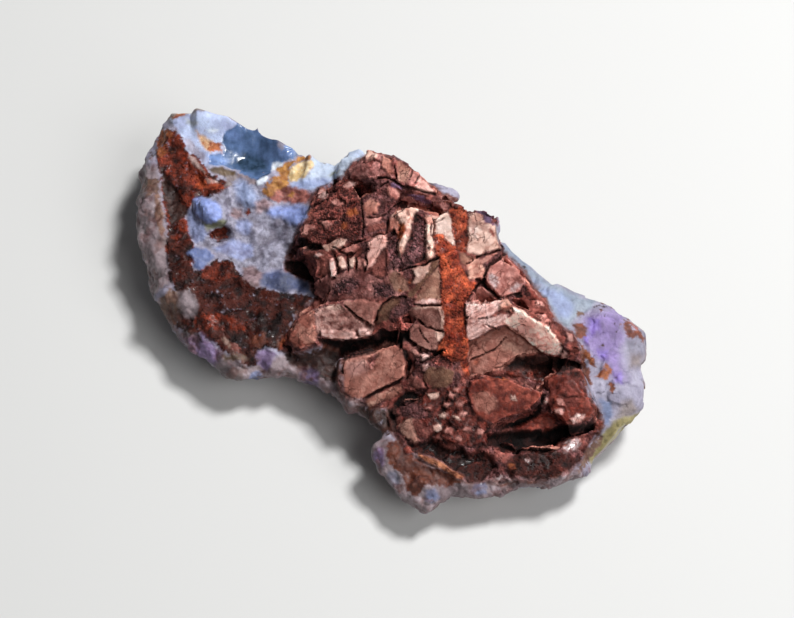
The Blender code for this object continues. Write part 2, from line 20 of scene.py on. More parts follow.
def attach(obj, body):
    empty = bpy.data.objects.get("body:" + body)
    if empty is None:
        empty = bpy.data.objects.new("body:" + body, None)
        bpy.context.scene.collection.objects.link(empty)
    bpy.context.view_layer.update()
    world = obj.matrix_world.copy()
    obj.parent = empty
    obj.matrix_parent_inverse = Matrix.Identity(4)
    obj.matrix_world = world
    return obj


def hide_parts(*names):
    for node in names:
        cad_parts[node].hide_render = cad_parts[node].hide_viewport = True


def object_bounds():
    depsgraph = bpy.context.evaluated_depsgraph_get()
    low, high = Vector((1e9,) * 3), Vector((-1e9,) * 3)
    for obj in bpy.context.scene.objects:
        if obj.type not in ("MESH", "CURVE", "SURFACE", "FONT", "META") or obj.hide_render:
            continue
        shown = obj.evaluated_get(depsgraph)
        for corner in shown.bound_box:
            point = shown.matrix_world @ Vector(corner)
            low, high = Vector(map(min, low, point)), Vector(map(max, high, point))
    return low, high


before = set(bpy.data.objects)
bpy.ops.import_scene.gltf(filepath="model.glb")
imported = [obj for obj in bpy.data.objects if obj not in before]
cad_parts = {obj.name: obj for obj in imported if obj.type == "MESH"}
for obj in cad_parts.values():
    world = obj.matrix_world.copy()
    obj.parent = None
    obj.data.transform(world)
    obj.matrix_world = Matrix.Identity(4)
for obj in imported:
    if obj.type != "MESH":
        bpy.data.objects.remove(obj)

cad_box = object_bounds()
MM = 0.001
print("nodes:", sorted(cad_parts))

# %% [markdown]
# ## A drawing sheet in front of the eye
#
# A stone has no edges to measure from, so its marks are drawn the way a sculptor copies a stone from
# one side. A flat sheet stands across the line of sight, through a fixed point of the stone. Each
# mark is drawn on it in millimetres, across and up, and lands where its line of sight meets the stone.
# The same three numbers, tilt, turn and distance, later place the camera.

# %% The sheet
SIGHT_TILT = math.radians(60)
SIGHT_TURN = math.radians(26)
SIGHT_DISTANCE = 220.6
SHEET_MIDDLE = np.array((0.9855, 5.1591, 0.0))  # in the stone's own frame, mm

TO_EYE = np.array((
    math.sin(SIGHT_TURN) * math.cos(SIGHT_TILT),
    -math.cos(SIGHT_TURN) * math.cos(SIGHT_TILT),
    math.sin(SIGHT_TILT),
))
ACROSS = np.array((math.cos(SIGHT_TURN), math.sin(SIGHT_TURN), 0.0))
UPWARD = np.cross(TO_EYE, ACROSS)


def on_sheet(spots):
    """Where each point of the stone, in mm, shows on the sheet: across and up, in mm."""
    ray = spots - SHEET_MIDDLE - TO_EYE * SIGHT_DISTANCE
    reach = SIGHT_DISTANCE / -(ray @ TO_EYE)
    return np.stack((ray @ ACROSS * reach, ray @ UPWARD * reach), axis=1)


print("the sheet's middle shows at", on_sheet(SHEET_MIDDLE[None])[0].round(6))

# %% [markdown]
# ## Noise to work with
#
# Nothing on a stone is regular, so almost every step below asks for noise. Two kinds are enough. Soft
# noise rises and falls gently, for lumps and blotches. Cell noise divides space into angular cells,
# for chips and grains. Both are worked out from whole-number cell addresses, so they need no random
# state and give the same stone each time. Each call gives the size of its humps or cells in mm, and a
# seed, which is a number of its own that only sets it apart from the others.

# %% Soft noise and cell noise
AXIS_PRIMES = (73856093, 19349663, 83492791)
SEED_STEP, SEED_START = 40503, 12345
STIRS = ((15, 0x2C1B3C6D), (12, 0x297A2D39))  # how far the bits move, and what they are multiplied by


def scrambled(cells, seed):
    """A number from 0 to 1 for each whole-number cell address."""
    along_x, along_y, along_z = (cells[..., k] * AXIS_PRIMES[k] for k in range(3))
    mixed = (along_x ^ along_y ^ along_z ^ (seed * SEED_STEP + SEED_START)) & 0xFFFFFFFF
    for move, factor in STIRS:
        mixed = ((mixed >> move) ^ mixed) * factor & 0xFFFFFFFF
    return ((mixed >> 15) ^ mixed & 0xFFFFFF) / 0x1000000 % 1.0


def soft_noise(spots, size, seed):
    """Gentle noise from -1 to 1, whose humps are about this size in mm."""
    scaled = spots / size + 1000.0
    corner = np.floor(scaled).astype(np.int64)
    part = scaled - corner
    part = part * part * (3 - 2 * part)
    total = np.zeros(len(spots))
    for step in itertools.product((0, 1), repeat=3):
        share = np.prod(np.where(np.array(step), part, 1 - part), axis=1)
        total += share * scrambled(corner + np.array(step), seed)
    return total * 2 - 1


def rough_noise(spots, size, seed):
    """Soft noise with finer noise on top."""
    return (soft_noise(spots, size, seed) + 0.5 * soft_noise(spots, size / 2.1, seed + 1)
            + 0.25 * soft_noise(spots, size / 4.3, seed + 2)) / 1.5


def cell_noise(spots, size, seed):
    """Each point's cell number, and how near it is to its cell's border (0 on the border)."""
    scaled = spots / size + 1000.0
    corner = np.floor(scaled).astype(np.int64)
    nearest = np.full(len(spots), np.inf)
    second = np.full(len(spots), np.inf)
    owner = np.zeros(len(spots))
    for step in itertools.product((-1, 0, 1), repeat=3):
        cell = corner + np.array(step)
        seed_spot = cell + np.stack([scrambled(cell, seed + k) for k in range(3)], axis=1)
        away = np.linalg.norm(scaled - seed_spot, axis=1)
        closer = away < nearest
        second = np.where(closer, nearest, np.minimum(second, away))
        owner = np.where(closer, scrambled(cell, seed + 3), owner)
        nearest = np.minimum(nearest, away)
    numbers = np.unique(owner, return_inverse=True)[1].reshape(-1)
    return numbers, (second - nearest) * size


def eased(value, low, high):
    """0 below low, 1 above high, and an even S-curve between."""
    share = np.clip((value - low) / (high - low), 0, 1)
    return share * share * (3 - 2 * share)


print("noise at one point:", soft_noise(SHEET_MIDDLE[None], 1.0, 1).round(3))

# %% [markdown]
# ## Marks drawn as outlines
#
# Each patch on the stone, such as a chipped face, a blue lobe or a rust stain, is an outline on the
# sheet. A patch says how far inside it a point is. Its border is pushed about a little by noise,
# because no patch on a stone ends in a straight line. Cracks are open lines of the same kind. Outlines
# and lines are written in tenths of a millimetre from the sheet's middle, across and up.

# %% Outlines and lines
BORDER_WANDER = 0.12
EDGE_WANDER_SIZE = 0.45


def mm_of(points):
    """Points written in tenths of a millimetre, in mm."""
    return [(across / 10, up / 10) for across, up in points]


def line_distance(sheet, points, closed):
    """Each sheet point's distance to a line through the points, and whether it is inside it."""
    ends = points[1:] + points[:1] if closed else points[1:]
    nearest = np.full(len(sheet), np.inf)
    inside = np.zeros(len(sheet), bool)
    for (x0, y0), (x1, y1) in zip(points, ends):
        dx, dy = x1 - x0, y1 - y0
        along = ((sheet[:, 0] - x0) * dx + (sheet[:, 1] - y0) * dy) / max(dx * dx + dy * dy, 1e-9)
        along = np.clip(along, 0, 1)
        away = np.hypot(sheet[:, 0] - x0 - along * dx, sheet[:, 1] - y0 - along * dy)
        nearest = np.minimum(nearest, away)
        if dy:
            crossing = (sheet[:, 1] < y0) != (sheet[:, 1] < y1)
            inside ^= crossing & (sheet[:, 0] < x0 + (sheet[:, 1] - y0) * dx / dy)
    return nearest, inside


def near(sheet, points, margin):
    """The numbers of the sheet points within this margin of the points' box."""
    drawn = np.array(points)
    low, high = drawn.min(0) - margin, drawn.max(0) + margin
    return np.nonzero(((sheet > low) & (sheet < high)).all(axis=1))[0]


def inside_patch(sheet, points, soft):
    """How much each sheet point lies in the patch, from 0 to 1 across a border of this softness."""
    share = np.zeros(len(sheet))
    close = near(sheet, points, soft)
    away, inside = line_distance(sheet[close], points, True)
    share[close] = eased(np.where(inside, away, -away), -soft, soft)
    return share


square = mm_of([(0, 0), (10, 0), (10, 10), (0, 10)])
print("a square of 1 mm holds its middle:", inside_patch(np.array([[0.5, 0.5]]), square, 0.1))

# %% [markdown]
# ## Finishes
#
# A finish is what a person would name when pointing at the stone: milky aqua, rust vein, salmon face.
# It has a light and a dark tone that mix in blotches of one size, how sandy it is, and how glossy.
# The sandiest finishes are wet in places, and their gloss is that of the wet places. Three finishes
# are painted light and shade: the near black of gaps and cavities, the white of glints, and the dark
# olive of a shaded face.

# %% The finishes
FINISHES = {
    # name: light tone, dark tone, blotch size in mm, sandiness, gloss
    "lilac_grey": ((0.34, 0.27, 0.29), (0.18, 0.13, 0.14), 1.6, 0.1, 0.25),
    "lilac_white": ((0.38, 0.36, 0.46), (0.26, 0.24, 0.32), 1.6, 0.05, 0.35),
    "violet_lilac": ((0.27, 0.2, 0.42), (0.18, 0.13, 0.27), 1.2, 0.05, 0.35),
    "violet": ((0.34, 0.24, 0.70), (0.24, 0.15, 0.48), 0.8, 0.0, 0.5),
    "violet_grey": ((0.17, 0.12, 0.22), (0.09, 0.06, 0.11), 0.8, 0.1, 0.3),
    "pale_blue_white": ((0.54, 0.62, 0.84), (0.38, 0.42, 0.62), 1.3, 0.0, 0.6),
    "bright_white": ((0.80, 0.84, 0.90), (0.66, 0.72, 0.82), 0.5, 0.0, 0.5),
    "milky_aqua": ((0.56, 0.64, 0.78), (0.42, 0.49, 0.64), 1.6, 0.0, 0.45),
    "periwinkle": ((0.3, 0.38, 0.74), (0.19, 0.24, 0.48), 0.9, 0.05, 0.45),
    "pale_periwinkle": ((0.44, 0.53, 0.82), (0.34, 0.4, 0.64), 1.2, 0.0, 0.45),
    "grey_periwinkle": ((0.24, 0.27, 0.44), (0.13, 0.13, 0.22), 0.9, 0.1, 0.35),
    "blue_band": ((0.13, 0.16, 0.32), (0.07, 0.08, 0.15), 0.9, 0.05, 0.4),
    "glassy_blue": ((0.11, 0.18, 0.35), (0.05, 0.09, 0.18), 1.0, 0.0, 0.8),
    "deep_blue": ((0.04, 0.075, 0.14), (0.01, 0.025, 0.045), 0.5, 0.0, 1.0),
    "sky_blue": ((0.20, 0.31, 0.60), (0.13, 0.20, 0.40), 0.8, 0.0, 0.9),
    "grey_milky": ((0.33, 0.32, 0.41), (0.15, 0.135, 0.18), 0.6, 0.32, 0.4),
    "pink_grey": ((0.32, 0.22, 0.24), (0.13, 0.075, 0.08), 0.5, 0.35, 0.35),
    "green_grey": ((0.24, 0.25, 0.17), (0.12, 0.12, 0.07), 0.6, 0.05, 0.5),
    "cream_crystal": ((0.86, 0.74, 0.50), (0.66, 0.46, 0.22), 0.45, 0.1, 0.5),
    "ochre": ((0.52, 0.25, 0.07), (0.32, 0.13, 0.04), 0.5, 0.2, 0.3),
    "peach": ((0.66, 0.42, 0.25), (0.48, 0.24, 0.12), 0.5, 0.15, 0.3),
    "olive_brown": ((0.15, 0.10, 0.06), (0.07, 0.04, 0.025), 0.6, 0.2, 0.4),
    "amber_yellow": ((0.36, 0.31, 0.15), (0.24, 0.2, 0.09), 1.4, 0.0, 0.5),
    "pale_yellow": ((0.62, 0.56, 0.30), (0.46, 0.40, 0.20), 0.6, 0.0, 0.4),
    "tan_grey": ((0.3, 0.25, 0.25), (0.2, 0.16, 0.17), 0.9, 0.1, 0.3),
    "brown_stain": ((0.16, 0.09, 0.065), (0.085, 0.04, 0.03), 0.7, 0.2, 0.25),
    "rim_stain": ((0.20, 0.10, 0.085), (0.09, 0.035, 0.03), 0.5, 0.25, 0.35),
    "rust_stain": ((0.14, 0.04, 0.022), (0.06, 0.018, 0.014), 0.7, 0.3, 0.25),
    "rust_dark": ((0.18, 0.027, 0.012), (0.02, 0.005, 0.004), 0.7, 0.6, 0.81),
    "bright_rust": ((0.42, 0.08, 0.03), (0.16, 0.02, 0.01), 0.4, 0.5, 0.6),
    "orange_rust": ((0.42, 0.13, 0.045), (0.2, 0.045, 0.018), 0.6, 0.3, 0.3),
    "rust_vein": ((0.54, 0.12, 0.05), (0.18, 0.024, 0.01), 0.6, 0.65, 0.79),
    "rust_shade": ((0.22, 0.045, 0.02), (0.12, 0.02, 0.01), 0.8, 0.8, 0.35),
    "maroon_skin": ((0.09, 0.018, 0.011), (0.01, 0.003, 0.003), 0.8, 0.55, 0.81),
    "wet_maroon": ((0.2, 0.044, 0.031), (0.03, 0.007, 0.006), 0.5, 0.5, 0.81),
    "maroon_grit": ((0.25, 0.08, 0.066), (0.05, 0.012, 0.011), 0.35, 1.0, 0.45),
    "plum": ((0.17, 0.075, 0.075), (0.07, 0.028, 0.03), 0.6, 0.7, 0.3),
    "plum_grit": ((0.15, 0.07, 0.075), (0.045, 0.02, 0.022), 0.3, 1.0, 0.45),
    "plum_rose": ((0.5, 0.25, 0.23), (0.2, 0.07, 0.064), 0.7, 0.3, 0.3),
    "maroon_rose": ((0.30, 0.11, 0.09), (0.12, 0.035, 0.03), 0.6, 0.4, 0.4),
    "rose": ((0.60, 0.32, 0.28), (0.34, 0.145, 0.125), 0.6, 0.15, 0.3),
    "rose_white": ((0.9, 0.66, 0.62), (0.54, 0.31, 0.27), 0.5, 0.1, 0.45),
    "salmon": ((0.64, 0.33, 0.26), (0.40, 0.17, 0.13), 0.9, 0.1, 0.25),
    "salmon_pale": ((0.95, 0.62, 0.56), (0.7, 0.42, 0.36), 1.0, 0.08, 0.3),
    "mottled": ((0.84, 0.56, 0.5), (0.12, 0.022, 0.016), 0.75, 0.2, 0.4),
    "cream": ((0.74, 0.57, 0.49), (0.58, 0.4, 0.33), 1.0, 0.05, 0.25),
    "cream_white": ((0.80, 0.70, 0.64), (0.60, 0.47, 0.40), 0.7, 0.05, 0.3),
    "tan": ((0.54, 0.33, 0.26), (0.36, 0.19, 0.15), 0.8, 0.1, 0.25),
    "tan_hollow": ((0.44, 0.23, 0.185), (0.28, 0.13, 0.10), 1.2, 0.1, 0.3),
    "olive_tan": ((0.40, 0.24, 0.175), (0.25, 0.13, 0.095), 0.9, 0.1, 0.25),
    # painted shade: the olive tan as it looks in shade
    "olive_in_painted_shade": ((0.17, 0.095, 0.06), (0.10, 0.05, 0.032), 0.8, 0.15, 0.25),
    "pink_tan": ((0.46, 0.25, 0.21), (0.27, 0.12, 0.10), 0.9, 0.1, 0.25),
    "red_skin": ((0.32, 0.105, 0.085), (0.18, 0.05, 0.038), 0.7, 0.2, 0.35),
    "glossy_red": ((0.29, 0.078, 0.054), (0.1, 0.022, 0.017), 0.6, 0.35, 0.78),
    "orange_tan": ((0.44, 0.20, 0.11), (0.28, 0.11, 0.055), 0.6, 0.15, 0.25),
    "shadow_brown": ((0.055, 0.022, 0.017), (0.022, 0.008, 0.007), 0.7, 0.3, 0.3),
    # painted shade: near black, laid in gaps and cavities
    "painted_shade_gap": ((0.020, 0.006, 0.005), (0.005, 0.002, 0.002), 0.6, 0.3, 0.1),
    # painted glints: white highlights painted on glossy spots, which also get full gloss
    "painted_glint": ((0.66, 0.62, 0.64), (0.20, 0.08, 0.07), 0.25, 0.2, 1.0),
}
print(len(FINISHES), "finishes")

# %% [markdown]
# ## Where the crust ends
#
# One outline divides the side that faces the eye into ironstone, inside it, and opal, outside it. The
# hidden sides follow a simple rule: ironstone is what stands above the slab.

# %% The contact between ironstone and opal
CRUST_OUTLINE = mm_of([
    (-29, 159), (-32, 153), (-40, 149), (-46, 145), (-49, 140), (-52, 134), (-60, 130), (-68, 124),
    (-78, 121), (-84, 115), (-87, 109), (-86, 100), (-89, 90), (-97, 84), (-100, 76), (-102, 68),
    (-108, 56), (-112, 48), (-112, 40), (-100, 33), (-88, 29), (-85, 20), (-80, 12), (-90, 4), (-98, -2),
    (-102, -12), (-109, -24), (-117, -28), (-118, -41), (-110, -43), (-94, -42), (-76, -36), (-58, -42),
    (-57, -54), (-60, -70), (-56, -84), (-46, -90), (-32, -96), (-24, -99), (-10, -99), (-8, -112),
    (-4, -126), (2, -132), (8, -144), (20, -152), (44, -163), (62, -172), (74, -174), (90, -173),
    (104, -176), (120, -173), (150, -171), (170, -164), (183, -152), (193, -134), (202, -124), (206, -114),
    (202, -104), (197, -94), (192, -80), (189, -70), (184, -56), (183, -46), (181, -36), (178, -26),
    (168, -20), (160, -12), (153, 0), (148, 10), (140, 17), (134, 28), (126, 39), (114, 50), (107, 57),
    (103, 64), (99, 76), (99, 84), (97, 94), (86, 100), (74, 101), (60, 109), (46, 115), (38, 120),
    (24, 135), (12, 143), (-4, 153), (-16, 157),
])
BACK_CONTACT_HEIGHT = 8.6  # on the sides that the eye can't see, mm above the floor
BACK_CRUST_ENDS = (-10.0, 15.5)
print("the contact has", len(CRUST_OUTLINE), "corners")

# %% [markdown]
# ## The patches of the opal end
#
# The patches are laid on like paint, later ones over earlier ones. A patch also says how far its
# surface is pressed flat, as a cleaved face is, and how far it is raised or sunk, in mm. Ribs are
# given as their heading in degrees, their spacing and their depth. The shade scales a patch's tones.
# It sets the stone's own lighter and darker colours, and it also paints light and shade: faces that
# the light reaches are made paler, faces turned from it darker.

# %% Patches of the opal on the left
PATCHES = []


def patch(finish, points, flat=0.0, raised=0.0, soft=0.1, shade=1.0, ribs=None):
    """Adds a patch: its finish, its outline on the sheet, how its surface is shaped, and its shade, a factor
    on its tones that partly paints light and shade.
    """
    PATCHES.append((finish, mm_of(points), flat, raised, soft, shade, ribs))


patch("lilac_grey", [
    (-270, 150), (-239, 142), (-230, 80), (-226, 20), (-220, -20), (-150, -56), (-110, -44), (-60, -50),
    (-30, -100), (-10, -128), (80, -172), (186, -160), (190, -200), (0, -220), (-270, -80),
], soft=0.5, shade=0.95)
# The pale patches at the tip have low shades: painted shade on the tip.
patch("cream_white", [
    (-232, 188), (-225, 198), (-216, 205), (-206, 208), (-190, 204), (-176, 199), (-194, 199), (-210, 199),
    (-217, 194), (-225, 190),
], shade=0.4)
patch("orange_rust", [(-226, 191), (-222, 195), (-216, 198), (-210, 199.5), (-210, 195), (-216, 191)])
patch("peach", [(-209, 203), (-202, 204), (-197, 202), (-205, 199.5)])
patch("lilac_white", [(-246, 144), (-241, 172), (-230, 190), (-225, 186), (-236, 178), (-242, 154)],
      shade=0.7)
patch("pale_blue_white", [
    (-226, 189), (-214, 193), (-200, 197), (-187, 199), (-179, 197), (-157, 187), (-167, 181), (-174, 172),
    (-175, 157), (-188, 154), (-190, 143), (-196, 143), (-209, 156), (-214, 170), (-221, 180),
], soft=0.15)
# Its low shade is painted shade on the tip.
patch("bright_white", [(-212, 191), (-203, 189), (-199, 185), (-204, 182), (-210, 186)],
      soft=0.25, shade=0.6)
patch("bright_white", [(-190, 180), (-180, 180), (-181, 177), (-188, 176)], soft=0.25)
patch("lilac_white", [
    (-213, 172), (-206, 170), (-198, 160), (-192, 154), (-194, 146), (-202, 152), (-209, 158),
], soft=0.25)
patch("peach", [(-202, 179), (-196, 174), (-190, 171), (-184, 167), (-187, 157), (-193, 160), (-197, 168)],
      soft=0.2)
patch("orange_rust", [
    (-192, 164), (-184, 167), (-177, 167), (-174, 163), (-174, 157), (-181, 157), (-188, 158),
], soft=0.15, shade=1.1)
patch("glassy_blue", [
    (-157, 188), (-138, 179), (-115, 171), (-90, 160), (-95, 155), (-104, 151), (-112, 148), (-117, 144),
    (-123, 140), (-129, 134), (-136, 130), (-142, 128), (-148, 130), (-154, 134), (-161, 139), (-170, 142),
    (-180, 144), (-188, 145), (-188, 155), (-174, 155), (-172, 161), (-175, 164), (-174, 172), (-171, 178),
    (-167, 181),
], raised=-0.1, soft=0.08)
patch("sky_blue", [(-189, 155), (-176, 154), (-169, 149), (-172, 143), (-188, 145)], soft=0.3)
patch("sky_blue", [(-172, 177), (-164, 179), (-156, 174), (-162, 168), (-170, 170)], soft=0.35)
patch("deep_blue", [
    (-160, 153), (-150, 155), (-138, 152), (-130, 148), (-130, 140), (-142, 136), (-154, 139), (-162, 146),
], flat=0.2, raised=-0.2, soft=0.35)
patch("sky_blue", [
    (-120, 159), (-114, 165), (-105, 163), (-98, 159), (-102, 153), (-110, 152), (-118, 152),
], soft=0.2, shade=0.85)
patch("lilac_white", [(-120, 168), (-115, 169), (-112, 164), (-116, 159), (-119, 161)],
      soft=0.15, shade=0.7)
patch("bright_white", [(-124, 146), (-119, 148), (-114, 145), (-120, 139), (-125, 138)], soft=0.15)
patch("lilac_grey", [(-158, 136), (-148, 131), (-140, 129), (-142, 124), (-152, 128), (-160, 132)])
patch("bright_white", [(-141, 128), (-135, 132), (-130, 133), (-129, 130), (-134, 125), (-139, 123)],
      raised=0.15)
patch("milky_aqua", [
    (-87, 157), (-64, 150), (-58, 154), (-48, 160), (-34, 163), (-29, 159), (-32, 154), (-46, 145),
    (-52, 134), (-62, 130), (-68, 125), (-76, 122), (-87, 120), (-96, 119), (-104, 123), (-105, 126),
    (-96, 130), (-88, 134), (-83, 142), (-86, 150),
])
patch("pale_periwinkle", [
    (-105, 125), (-95, 129), (-80, 131), (-66, 130), (-68, 125), (-80, 121), (-96, 119), (-104, 122),
], soft=0.25, shade=0.9)
patch("olive_brown", [(-75, 147.5), (-73, 148), (-71, 146), (-73, 145)], shade=1.6)
patch("green_grey", [(-68, 134), (-62, 138), (-57, 139), (-61, 136), (-67, 133)], soft=0.15, shade=1.8)
patch("cream_crystal", [
    (-108, 139), (-101, 144), (-92, 148), (-85, 149), (-82, 144), (-87, 138), (-90, 133), (-100, 128),
    (-107, 127), (-109.5, 132),
], flat=0.3, raised=0.15)
patch("ochre", [
    (-120, 140), (-112, 146), (-102, 151), (-92, 154), (-87, 154), (-86, 150), (-96, 148), (-104, 144),
    (-109, 138), (-110, 130), (-108, 125), (-112, 124), (-116, 132),
])
patch("ochre", [
    (-129, 126), (-123, 133), (-116, 135), (-110, 128), (-109, 122), (-118, 114), (-126, 109), (-132, 114),
    (-138, 117), (-133, 120),
], raised=0.1)
patch("maroon_rose", [
    (-119, 120), (-109, 123), (-102, 121), (-90, 119), (-84, 114), (-90, 106), (-102, 105), (-114, 106),
    (-126, 106), (-129, 111),
], soft=0.25, shade=1.5)
patch("ochre", [(-112, 116), (-104, 116), (-103, 112), (-110, 112)], soft=0.2)
print(len(PATCHES), "patches so far")

# %% [markdown]
# ## The rust band and the milky middle
#
# A band of dark rusty sandstone runs down the left end. Between it and the crust the opal is grey and
# cloudy, with rounded periwinkle lobes that stand out like small beads.

# %% Patches of the rust band and the milky middle
patch("rust_dark", [
    (-240, 174), (-236, 179), (-229, 181), (-222, 179), (-215, 173), (-212, 164), (-210, 159), (-204, 154),
    (-197, 149), (-192, 141), (-189, 137), (-180, 132), (-173, 129), (-166, 126), (-169, 120), (-179, 115),
    (-189, 111.5), (-197, 111), (-203, 106), (-207, 100), (-212, 92), (-209, 80), (-204, 66), (-202, 58),
    (-203, 44), (-210, 20), (-226, 26), (-230, 50), (-231, 80), (-232, 100), (-236, 120), (-238, 139),
    (-241, 155),
], raised=0.1, soft=0.12)
patch("orange_rust", [
    (-240, 172), (-234, 179), (-227, 180), (-224, 176), (-230, 171), (-233, 164), (-231, 158), (-234, 152),
    (-239, 155), (-241, 163),
], soft=0.3, shade=0.75)
patch("bright_rust", [
    (-203, 134), (-193, 133), (-184, 129), (-175, 125), (-170, 121), (-180, 120), (-192, 120), (-201, 123),
    (-205, 128),
], soft=0.3)
patch("rose_white", [(-194, 132), (-188, 130), (-179, 128), (-180, 126), (-190, 127)], soft=0.15, shade=0.6)
patch("rose_white", [(-208, 154), (-199, 147), (-193, 136), (-197, 139), (-205, 146)], soft=0.2, shade=0.6)
patch("shadow_brown", [
    (-235, 142), (-229, 130), (-220, 120), (-216, 108), (-209, 100), (-208, 93), (-218, 90), (-226, 84),
    (-229, 94), (-232, 110), (-236, 126),
], raised=-0.3, soft=0.3)
patch("bright_rust", [(-233, 64), (-226, 69), (-216, 66), (-206, 66), (-206, 56), (-220, 54), (-231, 56)],
      soft=0.4, shade=0.8)
patch("brown_stain", [(-252, 132), (-242, 131), (-236, 126), (-239, 116), (-249, 114), (-254, 120)],
      soft=0.3)
patch("brown_stain", [(-244, 116), (-238, 114), (-234, 96), (-233, 74), (-238, 76), (-242, 96)],
      soft=0.3, shade=1.5)
patch("tan_grey", [(-238, 73), (-232, 72), (-230, 66), (-234, 62), (-239, 67)], soft=0.15, shade=1.1)
patch("brown_stain", [(-246, 155), (-244, 155.5), (-243, 153), (-244.5, 151.5)], soft=0.08, shade=0.5)
patch("olive_brown", [
    (-189, 140), (-180, 142), (-170, 140), (-161, 137), (-160, 132), (-168, 130), (-176, 133), (-185, 136),
], soft=0.15)
patch("tan_grey", [(-169, 133), (-161, 134), (-159, 129), (-166, 124), (-172, 122)], soft=0.15)
patch("grey_milky", [
    (-169, 122), (-162, 125), (-142, 124), (-133, 116), (-126, 109), (-114, 105), (-96, 105), (-90, 106),
    (-88, 96), (-90, 88), (-98, 84), (-102, 68), (-108, 56), (-111, 44), (-135, 38), (-156, 40), (-170, 52),
    (-184, 58), (-190, 62), (-202, 66), (-209, 80), (-210, 96), (-204, 106), (-197, 111), (-185, 112),
], soft=0.15)
patch("grey_periwinkle", [
    (-209, 99), (-203, 99), (-199, 90), (-192, 84), (-190, 74), (-194, 67), (-202, 66), (-208, 76),
    (-210, 90),
], soft=0.2)
patch("green_grey", [(-194, 86), (-184, 86), (-174, 91), (-169, 89), (-174, 82), (-182, 80), (-189, 79)],
      soft=0.2)
patch("periwinkle", [
    (-203, 110), (-196, 111), (-190, 110), (-182, 108), (-176, 101), (-176, 92), (-180, 87), (-186, 86),
    (-193, 88), (-199, 92), (-204, 100),
], raised=0.25, soft=0.2)
patch("rust_dark", [(-189, 76), (-180, 79), (-172, 83), (-168, 79), (-169, 70), (-176, 67), (-186, 69)],
      raised=-0.4, soft=0.12, shade=0.8)
patch("pale_periwinkle", [
    (-162, 124), (-156, 129), (-150, 126), (-144, 120), (-139, 114), (-141, 106), (-145, 102), (-152, 103),
    (-159, 108), (-161, 116),
], raised=0.12, soft=0.5, shade=0.7)
patch("periwinkle", [
    (-128, 102), (-116, 102), (-108, 103), (-99, 104), (-91, 102), (-89.5, 94), (-93, 87), (-102, 84),
    (-108, 87), (-114, 92), (-122, 92), (-129, 96),
], raised=0.15, soft=0.4)
patch("grey_periwinkle", [(-160, 88), (-150, 89), (-145, 84), (-146, 76), (-153, 74), (-160, 79)],
      raised=0.1, soft=0.25, shade=1.2)
patch("pink_grey", [(-164, 102), (-156, 99), (-153, 92), (-160, 90), (-167, 94)], soft=0.25)
patch("rust_dark", [(-152, 99), (-147, 99), (-146, 97), (-150, 96)], soft=0.12)
patch("pink_grey", [(-142, 106), (-132, 110), (-124, 104), (-132, 99), (-140, 96)], soft=0.3, shade=1.3)
patch("grey_periwinkle", [
    (-174, 66), (-164, 71), (-155, 66), (-144, 64), (-144, 54), (-156, 49), (-166, 53), (-176, 56),
    (-183, 60),
], soft=0.25, shade=1.3)
patch("pink_grey", [(-154, 42), (-142, 43), (-134, 36), (-136, 22), (-148, 20), (-156, 30)], soft=0.2)
patch("blue_band", [
    (-136, 34), (-123, 39), (-113, 38), (-102, 32), (-92, 29), (-87, 24), (-86, 17), (-93, 14), (-103, 19),
    (-112, 15), (-124, 19), (-136, 22),
], raised=0.1, soft=0.3, shade=0.7)
print(len(PATCHES), "patches so far")

# %% [markdown]
# ## The dark lower left and the lobe below
#
# Below the milky part the opal is hidden under a thin dark red, sandy skin. The lilac rim comes
# through at the edge, with stains and a few chips.

# %% Patches of the lower left and the bottom lobe
patch("maroon_skin", [
    (-229, 69), (-204, 67), (-206, 56), (-205, 44), (-202, 39), (-190, 40), (-180, 50), (-166, 50),
    (-158, 36), (-142, 22), (-126, 19), (-112, 15), (-92, 14), (-82, 12), (-92, 3), (-102, -6), (-109, -22),
    (-116, -28), (-117, -41), (-132, -39), (-140, -56), (-152, -59), (-163, -50), (-180, -36), (-194, -26),
    (-210, -24), (-220, -19), (-224, 6), (-223, 24), (-230, 40),
], raised=0.12, soft=0.2, shade=0.7)
patch("rust_dark", [(-196, 40), (-182, 49), (-168, 48), (-160, 34), (-174, 26), (-194, 29)],
      soft=0.4, shade=0.8)
patch("rust_dark", [(-204, -6), (-186, -3), (-164, -8), (-150, -14), (-154, -22), (-180, -20), (-202, -19)],
      soft=0.4)
patch("rust_stain", [(-146, -26), (-134, -24), (-129, -30), (-136, -38), (-148, -34)], soft=0.3, shade=1.2)
patch("periwinkle", [
    (-210, 56), (-202, 62), (-192, 61), (-186, 58), (-183, 52), (-188, 46), (-196, 39.5), (-203, 42),
    (-204, 50),
], raised=0.15, soft=0.15, shade=0.55)
patch("brown_stain", [
    (-237, 8), (-229, 22), (-219, 18), (-214, 8), (-219, 0), (-216, -9), (-222, -18), (-230, -12),
    (-238, -2),
], soft=0.3)
patch("lilac_white", [(-244, 14), (-232, 23), (-227, 24), (-233, 14), (-241, 7)],
      soft=0.15, raised=0.15, shade=0.7)
patch("lilac_grey", [(-219, 17), (-210, 19), (-203, 13), (-199, 2), (-204, -9), (-213, -7), (-219, 2)],
      soft=0.3, shade=0.7)
patch("tan", [(-176, -28), (-172, -27), (-165, -36), (-167, -39), (-173, -34)], soft=0.15, shade=0.5)
patch("red_skin", [(-167, -33), (-161, -35), (-156, -41), (-158, -44), (-166, -40)],
      soft=0.12, raised=0.15, shade=0.8)
patch("olive_brown", [(-176, -46), (-154, -46), (-150, -51), (-172, -52)], soft=0.3)
patch("violet_grey", [(-216, -28), (-196, -25), (-184, -34), (-176, -46), (-184, -62), (-204, -50)],
      soft=0.4, shade=1.4)
patch("tan_grey", [(-182, -60), (-166, -56), (-152, -60), (-154, -72), (-178, -72)], soft=0.3, shade=0.6)
